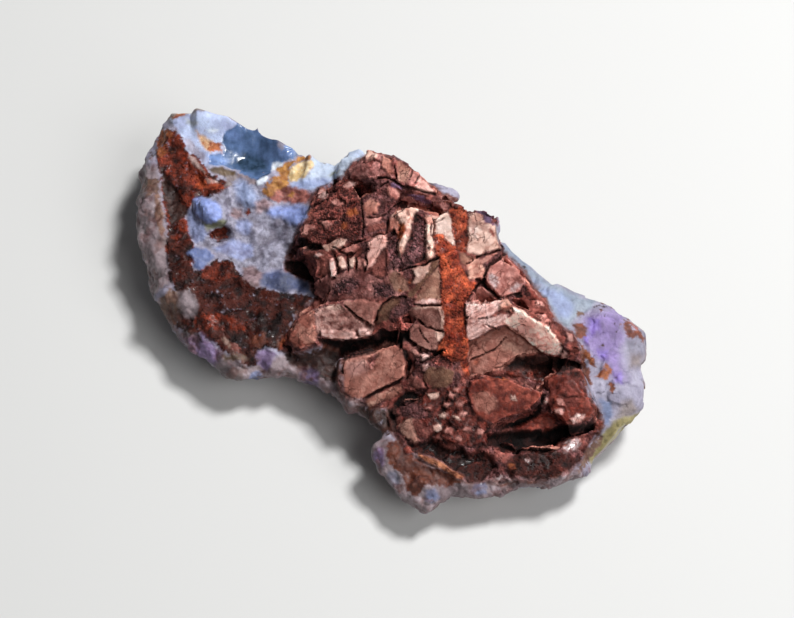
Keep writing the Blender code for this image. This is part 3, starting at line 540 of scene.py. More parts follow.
patch("violet_grey", [
    (-139, -42), (-129, -40), (-122, -44), (-124, -54), (-130, -62), (-138, -56), (-142, -48),
], soft=0.2, shade=1.3)
patch("grey_periwinkle", [(-146, -64), (-137, -62), (-133, -66), (-140, -71), (-147, -71)],
      soft=0.15, shade=0.7)
patch("orange_rust", [
    (-116, -29), (-110, -26), (-108, -29), (-112, -34), (-116, -42), (-119, -41), (-117, -34),
], shade=0.8)
patch("shadow_brown", [
    (-114, -43), (-90, -43), (-62, -34), (-56, -52), (-62, -74), (-80, -70), (-106, -54),
], soft=0.5)
patch("violet_grey", [(-96, -60), (-86, -59), (-78, -64), (-78, -79), (-88, -79), (-96, -70)],
      soft=0.3, shade=0.8)
patch("shadow_brown", [(-44, -94), (-10, -100), (-2, -124), (-16, -128), (-36, -108)], soft=0.4)
patch("rust_stain", [
    (-9, -134), (4, -132), (10, -144), (22, -152), (36, -159), (52, -166), (64, -174), (54, -178),
    (42, -176), (32, -175), (24, -180), (22, -189), (16, -186), (8, -178), (5, -168), (-2, -160),
    (-10, -154), (-10, -142),
], soft=0.3)
patch("violet_grey", [(-25, -148), (-19, -138), (-13, -142), (-13, -154), (-18, -161)],
      soft=0.25, shade=1.4)
patch("lilac_white", [(-9, -164), (-2, -162), (3, -170), (1, -178), (-6, -174), (-10, -169)],
      soft=0.3, shade=0.6)
patch("grey_periwinkle", [(28, -182), (38, -180), (42, -188), (36, -194), (29, -192)], soft=0.3, shade=0.7)
patch("grey_periwinkle", [(76, -178), (84, -174), (90, -176), (90, -184), (82, -188), (75, -184)],
      soft=0.2, shade=0.6)
print(len(PATCHES), "patches so far")

# %% [markdown]
# ## The opal on the right
#
# This end is clean milky opal: blue-white beside the crust, then violet, then a pale lilac tip, with
# an amber bevel below. Rust has run along two streaks and into its pits. The pits are painted dark
# brown: rust in them, and painted shade.

# %% Patches of the opal on the right
patch("milky_aqua", [
    (103, 66), (114, 64), (132, 51), (142, 42), (158, 33), (174, 26), (186, 20), (196, 16), (198, 8),
    (194, 1), (186, -4), (178, -10), (172, -19), (162, -12), (153, 0), (148, 10), (140, 17), (134, 28),
    (126, 39), (114, 50), (107, 57),
], soft=0.3, shade=0.5)
patch("pale_periwinkle", [
    (136, 30), (150, 22), (166, 14), (176, 4), (172, -9), (162, -8), (152, 9), (142, 18),
], soft=0.4, shade=0.65)
patch("lilac_white", [
    (134, 49), (156, 34), (176, 26), (196, 15), (190, 10), (170, 18), (150, 28), (134, 41),
], soft=0.3, shade=0.8)
patch("violet_lilac", [
    (186, -10), (194, -4), (206, -2), (218, 0), (228, -6), (226, -18), (229, -29), (224, -40), (224, -52),
    (229, -70), (216, -72), (206, -55), (196, -46), (189, -38), (185, -28), (185, -18),
], soft=0.8)
patch("violet", [(192, -10), (202, -10), (202, -22), (194, -28), (191, -20)], soft=0.4, shade=0.8)
patch("violet", [(186, -26), (192, -26), (191, -34), (187, -33)], soft=0.2, shade=0.8)
patch("violet", [(200, -40), (210, -42), (210, -50), (202, -49)], soft=0.3, shade=0.7)
patch("violet", [(218, -65), (224, -64), (226, -74), (219, -73)], soft=0.25, shade=0.75)
patch("lilac_white", [(229, -30), (238, -30), (244, -16), (252, -18), (256, -34), (248, -46), (230, -42)],
      soft=0.3, shade=0.65)
patch("tan_grey", [(234, -44), (248, -46), (243, -60), (232, -58)], soft=0.5, shade=0.9)
patch("pale_periwinkle", [(203, -90), (214, -94), (216, -106), (212, -116), (207, -116), (206, -104)],
      soft=0.25, shade=0.6)
patch("tan_grey", [(219, -108), (226, -92), (234, -89), (242, -100), (230, -109)], soft=0.4, shade=0.9)
patch("amber_yellow", [
    (188, -146), (200, -134), (208, -122), (218, -112), (226, -108), (236, -106), (254, -99), (246, -114),
    (212, -142), (196, -158),
], soft=0.25)
patch("brown_stain", [(180, -158), (193, -137), (204, -125), (207, -128), (195, -147), (183, -166)],
      soft=0.2, shade=1.2)
patch("rust_stain", [(202, 9), (210, 10), (220, 6), (229, -3), (224, -3), (216, 1), (206, 4)], shade=1.6)
patch("rust_stain", [
    (225, -11), (232, -11), (236, -20), (242, -22), (249, -30), (246, -33), (239, -27), (232, -29),
    (228, -22),
], soft=0.12, shade=1.5)
patch("red_skin", [(232, -13), (239, -10), (243, -14), (241, -20), (237, -16)], soft=0.12, shade=0.9)
patch("brown_stain", [(178, -4), (184, -2), (185, -6), (181, -9), (179, -8)], soft=0.12)
patch("rust_stain", [(176, -16), (186, -13), (190, -19), (186, -29), (180, -28), (177, -20)],
      soft=0.35, shade=1.3)
patch("rust_stain", [(181, -34), (186, -46), (193, -62), (195, -76), (189, -76), (184, -62), (182, -46)],
      soft=0.2, shade=1.3)
patch("orange_rust", [
    (184, -37), (189, -40), (194, -46), (199, -52), (197, -59), (193, -54), (189, -50), (186, -44),
], soft=0.12, shade=0.6)
patch("orange_rust", [
    (203, -58), (210, -55), (216, -60), (214, -66), (212, -72), (204, -71), (199, -68), (202, -63),
], soft=0.2, shade=0.75)
patch("orange_rust", [(212, -72), (218, -78), (216, -83), (213, -79)], shade=0.6)
patch("rust_stain", [(204, 0), (206, 0), (206, -2)])
patch("maroon_skin", [(198, -96), (205, -106), (206, -116), (202, -126), (198, -122), (199, -110)],
      soft=0.12)
patch("pale_yellow", [(178, 21), (182, 25), (188, 22), (189, 18), (182, 18)], raised=0.2)

PITS = [
    (201.5, 3.6, 1), (207, 1.8, 1.2), (196.5, 2, 0.9), (208.5, -7, 1), (218.5, -14.5, 1.3), (221, -23, 1.2),
    (218, -70, 1.6), (128, 41.5, 1), (176, 9, 0.8), (206, -36, 0.8), (219, -8, 0.8),
]
# Each pit is painted shadow brown: painted shade in the hollow, over the rust in it.
for across, up, radius in PITS:
    ring = [(across + radius * math.cos(turn), up + radius * math.sin(turn)) for turn in range(6)]
    patch("shadow_brown", ring, raised=-0.12, soft=0.06)
print(len(PATCHES), "patches so far")

# %% [markdown]
# ## The patches of the ironstone
#
# The crust is a jumble of broken faces. They go in from the back ridge to the front, each region in a
# cell of its own. The first is the ridge at the back and the plum coloured ground before it.

# %% Patches of the back ridge
OPAL_PATCHES = len(PATCHES)

patch("maroon_grit", [
    (-90, 90), (-87, 100), (-84, 106), (-76, 114), (-70, 120), (-64, 124), (-52, 131), (-40, 131),
    (-32, 124), (-35, 112), (-36, 98), (-35, 84), (-37, 72), (-56, 76), (-62, 72), (-69, 66), (-86, 64),
    (-96, 74), (-97, 82),
])
patch("plum_rose", [
    (-29, 159), (-10, 154), (4, 148), (23, 136), (38, 119), (36, 115), (26, 116), (14, 119), (4, 124),
    (-4, 131), (-30, 132), (-42, 130), (-52, 132), (-49, 140), (-44, 146), (-36, 151),
], shade=1.3)
patch("plum", [
    (-34, 130), (-20, 130), (-6, 128), (6, 120), (26, 113), (36, 103), (33, 84), (8, 104), (-9, 90),
    (-10, 78), (-32, 72), (-34, 92), (-34, 114),
], shade=1.25)
patch("plum_rose", [(-49, 139), (-39, 145), (-29, 146), (-24, 138), (-32, 132), (-46, 132)],
      flat=0.6, raised=0.15, shade=0.75)
patch("cream", [(-28, 158), (-19, 156), (-20, 151), (-28, 149), (-32, 152)], flat=0.5, raised=0.15)
patch("salmon", [(-14, 154), (-6, 152), (-6, 144), (-2, 136), (-8, 134), (-16, 143)], flat=0.6, raised=0.1)
patch("tan", [(1, 148), (13, 141), (12, 134), (9, 127), (1, 128), (0, 138)], flat=0.7, shade=1.3)
patch("rose", [(15, 140), (22, 135), (19, 130), (13, 127), (14, 134)], flat=0.6, raised=0.1)
patch("salmon_pale", [(23, 131), (29, 128), (37, 118), (34, 115), (25, 117), (19, 121)], flat=0.7)
patch("plum_rose", [(38, 116), (52, 115), (62, 109), (72, 103), (64, 102), (52, 99), (36, 102), (34, 109)],
      flat=0.6, shade=0.8)
patch("rose_white", [(46, 113), (54, 111), (62, 107), (56, 107), (48, 109)], soft=0.15, shade=0.6)
patch("violet_grey", [(-7, 126), (-2, 127), (5, 123), (6, 120), (0, 121), (-5, 123)], flat=0.8, shade=1.5)
patch("violet_grey", [(10, 115), (18, 114), (27, 112), (33, 109), (32, 105), (24, 108), (16, 111)],
      flat=0.8, shade=1.5)
patch("rose", [(-10, 122), (-2, 122), (4, 116), (0, 109), (-8, 114)], flat=0.7, raised=0.1)
patch("salmon", [(-33, 107), (-26, 110), (-17, 105), (-20, 101), (-19, 97), (-32, 94), (-33, 100)],
      flat=0.8, raised=0.12)
patch("rose", [(-33, 92), (-14, 95), (-18, 86), (-31, 83)], flat=0.7, raised=0.1)
patch("maroon_rose", [(-30, 83), (-12, 88), (-10, 81), (-30, 75)], flat=0.7)
patch("plum_rose", [(5, 114), (14, 112), (22, 106), (14, 105), (6, 108)], flat=0.6)
patch("rose", [(-96, 76), (-94, 84), (-86, 84), (-81, 81), (-88, 79), (-92, 74)], flat=0.6)
patch("rose_white", [(-80, 113), (-77, 120), (-70, 121), (-71, 113), (-76, 110)], flat=0.5, shade=0.8)
patch("rose_white", [(-54, 124), (-49, 128), (-40, 126), (-42, 123), (-50, 120)], flat=0.5, shade=0.8)
patch("rose", [(-67, 107), (-60, 110), (-53, 106), (-58, 102)], flat=0.6)
patch("rose", [(-77, 87), (-70, 89), (-65, 84), (-72, 81)], flat=0.6)
patch("orange_rust", [(-49, 99), (-42, 101), (-39, 96), (-46, 92), (-50, 94)], soft=0.15)
patch("orange_rust", [(-56, 87), (-50, 87), (-49, 81), (-56, 79)], soft=0.15)
# Painted shade in a gap.
patch("painted_shade_gap", [
    (-100, 70), (-94, 72), (-86, 66), (-76, 64), (-73, 60), (-82, 59), (-90, 59), (-98, 62),
], raised=-0.5)
print(len(PATCHES), "patches so far")

# %% [markdown]
# The left ledge carries small pale slabs. Next to it stand a pink ridge and a dark, sandy plateau.

# %% Patches of the left ledge and the plateau
patch("plum_rose", [
    (-70, 40), (-60, 32), (-50, 39), (-40, 40), (-30, 36), (-14, 28), (-8, 40), (4, 38), (10, 24), (4, 12),
    (-20, 9), (-52, 8), (-70, 6), (-80, 14), (-82, 26),
], flat=0.55, shade=0.8)
patch("plum_grit", [(-64, 26), (-46, 32), (-34, 26), (-46, 16), (-64, 14)], flat=0.3, soft=0.3)
patch("plum_grit", [(-26, 24), (-12, 26), (0, 20), (-4, 12), (-22, 12)], flat=0.3, soft=0.3)
patch("olive_tan", [(-10, 36), (0, 37), (10, 29), (12, 20), (2, 15), (-6, 24)],
      flat=0.6, soft=0.2, shade=0.8)
patch("maroon_rose", [
    (-94, 52), (-84, 58), (-72, 57), (-64, 53), (-62, 46), (-68, 36), (-76, 30), (-84, 34), (-89, 44),
], flat=0.5, shade=1.1)
# Painted shade in a gap.
patch("painted_shade_gap", [
    (-112, 48), (-104, 48), (-96, 50), (-90, 42), (-85, 30), (-82, 16), (-85, 26), (-88, 29), (-98, 32),
    (-108, 36), (-113, 40),
], raised=-0.6)
patch("rust_stain", [(-109, 54), (-104, 54), (-103, 50), (-108, 50)], shade=1.4)
patch("maroon_grit", [(-62, 72), (-55, 76), (-39, 72), (-39, 69), (-50, 69), (-58, 70)], flat=0.3)
patch("cream", [(-76, 62), (-70, 64), (-62, 69), (-56, 71), (-50, 69), (-52, 64), (-60, 59), (-70, 58)],
      flat=0.8, raised=0.2, shade=0.75)
patch("rose", [(-52, 63), (-42, 67), (-39, 62), (-44, 56), (-54, 55)], flat=0.7, raised=0.15)
patch("rose_white", [(-68, 50), (-64, 52), (-62, 46), (-61, 39), (-60, 32), (-66, 32), (-67, 40)],
      flat=0.7, raised=0.15)
patch("cream", [(-60, 51), (-55, 53), (-51, 47), (-50, 41), (-56, 40), (-59, 43)],
      flat=0.7, raised=0.15, shade=0.85)
patch("cream", [(-48, 50), (-42, 54), (-41, 48), (-45, 41), (-48, 42)], flat=0.7, raised=0.15, shade=0.9)
patch("rose", [(-40, 49), (-32, 51), (-31, 43), (-36, 40), (-40, 43)], flat=0.7, raised=0.1)
patch("rose_white", [(-84, 54), (-78, 56), (-74, 53), (-80, 51)], flat=0.5, shade=0.6)
patch("salmon_pale", [
    (-30, 66), (-20, 72), (-12, 75), (-10, 69), (-11, 63), (-16, 58), (-20, 50), (-24, 44), (-30, 39),
    (-33, 45), (-30, 52), (-27, 60),
], flat=0.75, raised=0.2, shade=0.85)
patch("maroon_rose", [
    (-11, 61), (-9, 52), (-10, 40), (-14, 30), (-24, 33), (-24, 43), (-19, 50), (-16, 57),
], flat=0.7, shade=0.85)
patch("plum_rose", [(-39, 71), (-30, 73), (-18, 74), (-28, 68), (-37, 66)], flat=0.5, shade=1.2)
print(len(PATCHES), "patches so far")

# %% [markdown]
# The fluted block is the tallest. Two dark flutes lie between cream crests, and a rusty vein crosses
# to the cream face on its right and then runs down to the front.

# %% Patches of the fluted block, the vein and the cream face
patch("plum_grit", [
    (-9, 77), (-4, 80), (1, 74), (2, 60), (4, 52), (6, 44), (3, 37), (-3, 46), (-8, 54), (-10, 66),
], raised=-0.2, soft=0.12, shade=1.5)
patch("plum_grit", [
    (17, 94), (21, 96), (26, 92), (29, 86), (29, 74), (28, 60), (29, 50), (22, 46), (14, 45), (8, 46),
    (5, 52), (9, 60), (11, 68), (15, 78), (16, 88),
], raised=-0.3, soft=0.12, shade=1.5)
patch("cream", [
    (-6, 92), (-3, 96), (7, 100), (13, 105), (19, 107), (22, 101), (18, 96), (15, 92), (14, 84), (13, 76),
    (9, 68), (7, 60), (3, 52), (0, 61), (3, 70), (4, 80), (3, 88), (0, 90),
], raised=0.3)
patch("salmon", [(-8, 89), (-2, 93), (2, 90), (3, 82), (1, 74), (-4, 80), (-8, 78)], flat=0.6, raised=0.1)
patch("orange_rust", [(2, 85), (7, 86), (8, 79), (5, 72), (3, 66), (1, 72)], raised=-0.15)
patch("cream", [
    (29, 94), (34, 94), (36, 87), (33, 82), (34, 74), (37, 66), (37, 52), (32, 48), (29, 52), (30, 60),
    (29, 74), (29, 84),
], raised=0.2)
patch("shadow_brown", [(30, 61), (32, 63), (33, 60), (31.5, 58)], raised=-0.2)
patch("cream_white", [
    (39, 89), (42, 95), (48, 97), (52, 94), (55, 84), (57, 72), (58, 64), (54, 63), (50, 69), (46, 73),
    (39, 75),
], flat=0.7, raised=0.15)
patch("cream", [(35, 74), (39, 75), (39, 89), (36, 88)], flat=0.6, shade=0.9)
patch("rust_vein", [
    (53, 101), (62, 103), (69, 99), (71, 92), (70, 82), (71, 72), (72, 64), (68, 57), (62, 59), (57, 63),
    (58, 70), (56, 80), (54, 88), (52, 96),
], flat=0.3, raised=-0.1, shade=0.7)
patch("rust_vein", [
    (37, 74), (45, 75), (49, 71), (53, 66), (58, 63), (60, 58), (50, 56), (42, 52), (38, 54), (37, 64),
], flat=0.4, raised=0.1)
patch("rust_vein", [
    (42, 52), (50, 57), (61, 58), (62, 50), (64, 42), (69, 34), (74, 29), (79, 26), (77, 20), (70, 10),
    (67, 0), (68, -10), (69, -20), (71, -30), (72, -44), (69, -50), (55, -53), (44, -46), (39, -42),
    (46, -30), (48, -26), (46, -16), (45, -6), (44, 4), (45, 14), (46, 26), (43, 38),
], flat=0.35, raised=0.1)
patch("rust_shade", [
    (68, 16), (76, 22), (72, 12), (68, 3), (60, 1), (50, -2), (47, -8), (52, -10), (62, -8), (68, -4),
], soft=0.2)
patch("rust_vein", [(64, -52), (71, -50), (72, -60), (73, -69), (67, -69), (66, -60)], shade=0.8)
patch("rust_shade", [(56, -44), (69, -34), (71, -46), (64, -52), (52, -53)], soft=0.25)
patch("cream", [
    (73, 96), (82, 95), (86, 90), (88, 85), (94, 86), (99, 80), (99, 74), (102, 66), (104, 61), (96, 59),
    (88, 57), (79, 54), (72, 56), (69, 60), (71, 70), (71, 84),
], flat=0.85, raised=0.15, shade=0.92)
patch("cream_white", [(74, 89), (82, 87), (86, 79), (79, 71), (73, 76)], soft=0.4, flat=0.1)
patch("red_skin", [(92, 80), (96, 79), (98, 73), (95, 72), (92, 76)], soft=0.12)
patch("violet_grey", [
    (76, 101), (84, 101), (93, 98), (99, 92), (100, 84), (99, 81), (94, 85), (89, 87), (86, 92), (82, 96),
    (77, 99),
], flat=0.6, shade=0.9)
patch("maroon_rose", [(93, 94), (98, 90), (99, 83), (95, 85)], soft=0.15)
patch("olive_tan", [(62, 58), (67, 56), (71, 52), (78, 51), (72, 46), (69, 44), (65, 46), (63, 50)],
      flat=0.6)
patch("tan", [(69, 44), (76, 49), (82, 51), (86, 45), (88, 38), (86, 31), (79, 30), (73, 32), (70, 38)],
      flat=0.75, raised=0.1, shade=1.4)
patch("pink_tan", [(82, 50), (92, 56), (102, 59), (100, 56), (90, 48), (85, 44)], flat=0.6, shade=1.2)
patch("rose", [
    (89, 29), (90, 36), (93, 43), (100, 49), (108, 52), (114, 48), (122, 40), (129, 32), (127, 24),
    (122, 17), (114, 14), (106, 12), (102, 12), (97, 19), (90, 25),
], flat=0.7, raised=0.2)
# Painted glints on the glossy rose block.
patch("painted_glint", [(92, 35), (99, 34), (102, 26), (101, 19), (96, 21), (91, 29)], soft=0.25, shade=0.9)
patch("painted_glint", [(113, 22), (119, 26), (124, 24), (122, 19), (117, 16), (113, 18)], soft=0.25, shade=0.9)
patch("red_skin", [
    (109, 55), (114, 49), (123, 40), (130, 32), (136, 23), (142, 15), (149, 9), (154, 0), (159, -9),
    (150, -6), (140, 4), (134, 14), (128, 22), (130, 30), (122, 39), (114, 47), (108, 52),
])
patch("rose", [(73, 7), (77, 16), (82, 23), (88, 21), (94, 16), (100, 11.5), (92, 8), (82, 7)],
      flat=0.8, shade=1.1)
print(len(PATCHES), "patches so far")

# %% [markdown]
# Right of the vein lie the striated slope and a smooth tan hollow that ends in an overhang, with
# painted shade under it.

# %% Patches of the striated slope and the tan hollow
patch("rose_white", [
    (70, 6), (84, 6), (98, 9), (108, 11), (111, 6), (106, 0), (99, -3), (89, -9), (79, -10), (69, -7),
    (68, 0),
], flat=0.7, raised=0.1, ribs=(28, 0.42, 0.1), shade=1.15)
patch("rose_white", [
    (69, -9), (80, -10), (92, -9), (104, -6), (112, -4), (109, -11), (104, -17), (94, -21), (83, -26),
    (74, -31), (70, -28), (69, -19),
], flat=0.7, ribs=(28, 0.42, 0.1), shade=0.85)
patch("tan", [(102, 2), (108, 9), (112, 10), (115, 3), (116, -3), (109, -2), (104, 0)],
      raised=0.15, shade=1.2)
patch("red_skin", [
    (116, 10), (124, 15), (134, 13), (144, 10), (151, 2), (156, -9), (146, -9), (138, -9), (132, -4),
    (124, 1), (118, 4),
], flat=0.5, raised=-0.1)
# Painted shade in a small gap.
patch("painted_shade_gap", [(118, 14), (123, 16), (126, 13), (123, 10), (119, 10)], raised=-0.3)
# Its high shade is painted light: the slope is painted paler, as a face turned to the lamp.
patch("salmon_pale", [
    (115, 3), (122, 0), (128, -2), (134, -8), (143, -13), (152, -19), (159, -26), (163, -34), (164, -44),
    (156, -46), (146, -43), (139, -39), (132, -34), (126, -26), (120, -21), (110, -17), (106, -16),
    (110, -9), (117, -4),
], flat=0.7, raised=0.15, shade=1.55)
patch("rose", [(139, 9), (146, 7), (146, 2), (139, 3)], flat=0.7, raised=0.15, shade=1.2)
patch("rose", [(140, -5), (148, -5), (154, -12), (146, -14)], flat=0.7, raised=0.15, shade=1.2)
patch("red_skin", [(156, -20), (164, -23), (169, -30), (166, -36), (160, -30)], flat=0.5)
patch("rose_white", [(169, -22), (174, -24), (177, -32), (173, -34), (170, -30)],
      flat=0.6, raised=0.1, shade=0.8)
patch("rose_white", [(163, -42), (167, -41), (170, -47), (167, -50), (163, -47)],
      flat=0.6, raised=0.1, shade=0.8)
patch("red_skin", [(170, -36), (179, -32), (182, -44), (174, -50)], soft=0.2)
patch("tan_hollow", [
    (72, -32), (82, -28), (93, -23), (102, -20), (108, -17), (116, -19), (124, -24), (131, -31), (139, -39),
    (146, -44), (134, -47), (125, -47), (116, -50), (110, -58), (104, -60), (96, -62), (89, -66), (74, -68),
    (73, -56), (72, -44),
], flat=0.6, raised=-0.1, soft=0.12, shade=1.15)
patch("tan", [(104, -34), (116, -30), (129, -36), (132, -44), (120, -46), (108, -44)], soft=0.5)
patch("rust_stain", [(76, -50), (82, -48), (84, -56), (78, -60)], soft=0.3, shade=2)
patch("shadow_brown", [
    (112, -54), (120, -48), (130, -47), (144, -46), (156, -48), (166, -50), (172, -52), (183, -53),
    (183, -59), (170, -62), (150, -62), (130, -62), (110, -63), (98, -61), (106, -59),
], raised=-0.7, soft=0.15)
# Painted shade under the overhang.
patch("painted_shade_gap", [(160, -52), (182, -52), (183, -58), (166, -63), (160, -58)], raised=-0.4)
patch("maroon_skin", [
    (90, -65), (104, -61), (130, -62), (154, -62), (174, -63), (183, -60), (186, -68), (168, -72),
    (140, -74), (124, -69), (104, -67),
], raised=0.15, shade=1.3)
print(len(PATCHES), "patches so far")

# %% [markdown]
# Left of the vein the block steps down in small olive and pink treads, each with a pale edge. A band
# of painted shade, dark olive, runs down the olive face.

# %% Patches of the olive face and the steps
patch("cream", [
    (16, 40), (22, 42), (30, 44), (35, 47), (33, 40), (28, 33), (24, 26), (20, 24), (16, 26), (18, 32),
], flat=0.75, raised=0.1, shade=0.8)
# A dark olive band: painted shade on the olive face.
patch("olive_in_painted_shade", [
    (35, 48), (42, 50), (41, 44), (34, 35), (29, 28), (22, 20), (16, 12), (11, 12), (14, 20), (20, 25),
    (26, 30), (32, 39),
], flat=0.7)
patch("olive_tan", [(41, 42), (43, 34), (44, 20), (44, 11), (30, 8), (19, 9), (23, 19), (30, 28), (36, 36)],
      flat=0.8)
patch("orange_rust", [(11, 29), (15, 29), (15, 25), (11, 25)], soft=0.12, shade=0.8)
patch("orange_rust", [(2, 21), (6, 21), (6, 18), (2, 17)], soft=0.12, shade=0.8)
patch("rose_white", [(18, 8), (26, 10), (44, 9), (44, 5), (28, 5), (20, 5)], flat=0.5, raised=0.15)
patch("pink_tan", [
    (14, 0), (20, 3), (44, 2.5), (45, -5), (47, -12), (46, -20), (40, -21), (28, -16), (23, -12), (15, -7),
    (12, -3),
], flat=0.75, raised=0.15, shade=0.72)
patch("cream", [(15, 1), (24, 3.5), (44, 3), (45, 0.5), (26, 1), (18, -1)], shade=0.9)
patch("cream", [(42, 2), (45, 2), (47, -11), (47, -20), (44, -20), (44, -10)], shade=0.9)
patch("pink_tan", [
    (12, -21), (18, -15), (24, -15), (34, -19), (46, -23), (47.5, -26), (42, -33), (39, -41), (32, -43),
    (24, -40), (16, -33), (12, -30),
], flat=0.75, raised=0.1, shade=0.75)
patch("cream", [(38, -23), (47, -23), (47, -27), (41, -32), (39, -28)], soft=0.15)
patch("rose", [(12, -34), (19, -40), (22, -46), (19, -47), (14, -42)], flat=0.6)
patch("rose_white", [(23, -45), (26, -44), (33, -46), (32, -50), (24, -52)], flat=0.6, shade=0.8)
patch("rose_white", [(24, -56), (30, -54), (31, -61), (26, -63)], flat=0.6, shade=0.8)
patch("maroon_grit", [(33, -45), (43, -47), (54, -54), (56, -60), (42, -57), (32, -52)], shade=1.1)
patch("maroon_grit", [(0, -9), (6, -5), (12, -7), (15, -16), (10, -21), (-1, -21), (-6, -16)],
      raised=0.2, shade=1.3)
patch("rose", [(11, -66), (19, -67), (26, -74), (29, -79), (22, -79), (13, -75)], flat=0.3)
# Dark olive: painted shade.
patch("olive_in_painted_shade", [
    (29, -59), (44, -58), (58, -62), (56, -72), (48, -79), (36, -79), (26, -72), (27, -64),
], flat=0.6, shade=1.1)
print(len(PATCHES), "patches so far")

# %% [markdown]
# The front left holds a speckled slab, a smooth salmon boss and the gap between them, painted near
# black as shade.

# %% Patches of the front left
patch("salmon", [
    (-92, 1), (-87, 2), (-82, -3), (-82, -14), (-80, -22), (-82, -31), (-88, -36), (-96, -39), (-103, -38),
    (-108, -30), (-104, -20), (-99, -12), (-97, -4),
], raised=0.1, shade=0.8)
# Painted shade in the gap between the slab and the boss.
patch("painted_shade_gap", [
    (-79, -30), (-60, -31), (-40, -31), (-26, -28), (-14, -20), (-4, -22), (12, -23), (12, -31), (2, -35),
    (-10, -34), (-19, -40), (-24, -45), (-40, -47), (-54, -52), (-58, -42), (-74, -37),
], raised=-0.5, soft=0.15)
patch("mottled", [
    (-81, -2), (-70, 3), (-56, 5), (-48, -2), (-40, -10), (-30, -16), (-23, -20), (-26, -26), (-34, -28),
    (-42, -30), (-56, -30), (-70, -29), (-77, -26), (-81, -16),
], flat=0.7, shade=0.75)
SPECKS = [
    (-66, -6, 5), (-53, -5, 4), (-69, -15, 4), (-54, -16, 5), (-43, -14, 3.5), (-35, -21, 3), (-75, -8, 3),
]
for across, up, reach in SPECKS:
    patch("maroon_rose", [
        (across - reach, up), (across, up + 0.6 * reach), (across + reach, up + 1),
        (across + 2, up - 0.6 * reach),
    ], soft=0.25, shade=0.8)
patch("cream", [(-72, 2), (-64, 4.5), (-56, 4), (-54, 1), (-64, 0)], soft=0.15, shade=0.8)
# Dark olive: painted shade.
patch("olive_in_painted_shade", [(-19, 2), (-9, 10), (3, 11), (2, 6), (-6, -2), (-9, -10), (-16, -14), (-22, -15)],
      flat=0.6)
patch("pink_tan", [
    (-52, 8), (-34, 10), (-22, 7), (-16, 4), (-23, -8), (-24, -19), (-32, -14), (-44, -6), (-52, 3),
], flat=0.7, raised=0.15)
patch("rose_white", [
    (-76, -21), (-62, -21), (-52, -19), (-42, -24), (-39, -30), (-54, -30.5), (-70, -29), (-76, -26),
], flat=0.7, raised=0.2, shade=0.75)
patch("rose_white", [(-39, -20), (-33, -19), (-26, -23), (-29, -27), (-37, -26)],
      flat=0.5, raised=0.15, shade=0.8)
patch("salmon", [
    (-54, -52), (-39, -47), (-24, -45), (-19, -40), (-10, -34), (-3, -34), (2, -38), (6, -46), (9, -56),
    (8, -66), (6, -71), (-4, -73), (-16, -79), (-29, -87), (-36, -89), (-46, -89), (-53, -83), (-54, -76),
    (-54, -64),
], flat=0.65, soft=0.15, shade=0.66)
patch("salmon_pale", [(-49, -55), (-34, -50), (-26, -54), (-34, -64), (-49, -66)], soft=0.6, shade=0.62)
patch("maroon_skin", [
    (2, -36), (10, -42), (16, -52), (19, -58), (15, -66), (9, -72), (8, -64), (9, -54), (6, -44),
], raised=-0.15)
patch("plum_rose", [(-30, -50), (-21, -45), (-18, -43), (-21, -52), (-25, -59), (-29, -56)],
      raised=-0.15, shade=0.7)
patch("rose", [(-31, -55), (-26, -54), (-25, -60), (-30, -60)], soft=0.12, raised=0.1)
patch("tan", [
    (-30, -96), (-29, -91), (-19, -85), (-11, -81), (1, -76), (4, -75), (6, -82), (1, -86), (-10, -89),
    (-18, -94), (-27, -97.5),
], raised=0.1, shade=0.8)
print(len(PATCHES), "patches so far")

# %% [markdown]
# The blocks at the lower right are glossy and dark red, and a deep cavity opens under them, painted
# near black as shade.

# %% Patches of the glossy blocks
patch("glossy_red", [
    (74, -72), (86, -69), (98, -67), (112, -70), (120, -74), (132, -79), (146, -83), (144, -89), (138, -95),
    (132, -100), (126, -102), (116, -106), (104, -110), (96, -114), (86, -109), (78, -104), (74, -96),
    (71, -84),
], flat=0.6, raised=0.15)
patch("orange_rust", [(98, -68), (104, -66), (114, -67), (120, -71), (110, -71), (100, -70)], shade=0.8)
patch("salmon", [
    (76, -84), (86, -82), (94, -85), (100, -92), (99, -100), (90, -104), (80, -102), (76, -94),
], flat=0.6, raised=0.1, soft=0.2, shade=0.75)
patch("cream", [(113, -86), (118, -86), (120, -91), (114, -91)], soft=0.12, shade=0.8)
patch("glossy_red", [
    (149, -70), (156, -66), (164, -66), (174, -67), (182, -74), (188, -84), (194, -94), (196, -106),
    (190, -112), (176, -114), (166, -112), (156, -104), (150, -94), (153, -84),
], flat=0.4, raised=0.1)
patch("red_skin", [(164, -74), (176, -76), (184, -88), (180, -98), (168, -94)], soft=0.3, flat=0.2)
patch("rose", [(159, -91), (166, -90), (167, -97), (160, -96)], flat=0.5, raised=0.15)
patch("rose_white", [(158, -100), (166, -100), (165, -106), (159, -105)], flat=0.5, raised=0.2)
patch("rose_white", [(146, -90), (150, -90), (151, -94), (148, -95)], raised=0.1)
patch("rose_white", [(173, -110), (180, -105), (188, -106), (186, -112), (176, -114)],
      flat=0.4, raised=0.15, shade=0.8)
patch("glossy_red", [
    (129, -114), (140, -108), (150, -104), (158, -110), (157, -118), (148, -120), (136, -121), (122, -120),
    (116, -118),
], flat=0.4, raised=0.15, shade=1.3)
# Painted shade in the cavity under the glossy blocks.
patch("painted_shade_gap", [
    (145, -86), (149, -86), (146, -96), (136, -104), (128, -109), (114, -114), (102, -118), (102, -121),
    (120, -118), (136, -110), (144, -104),
], raised=-0.4)
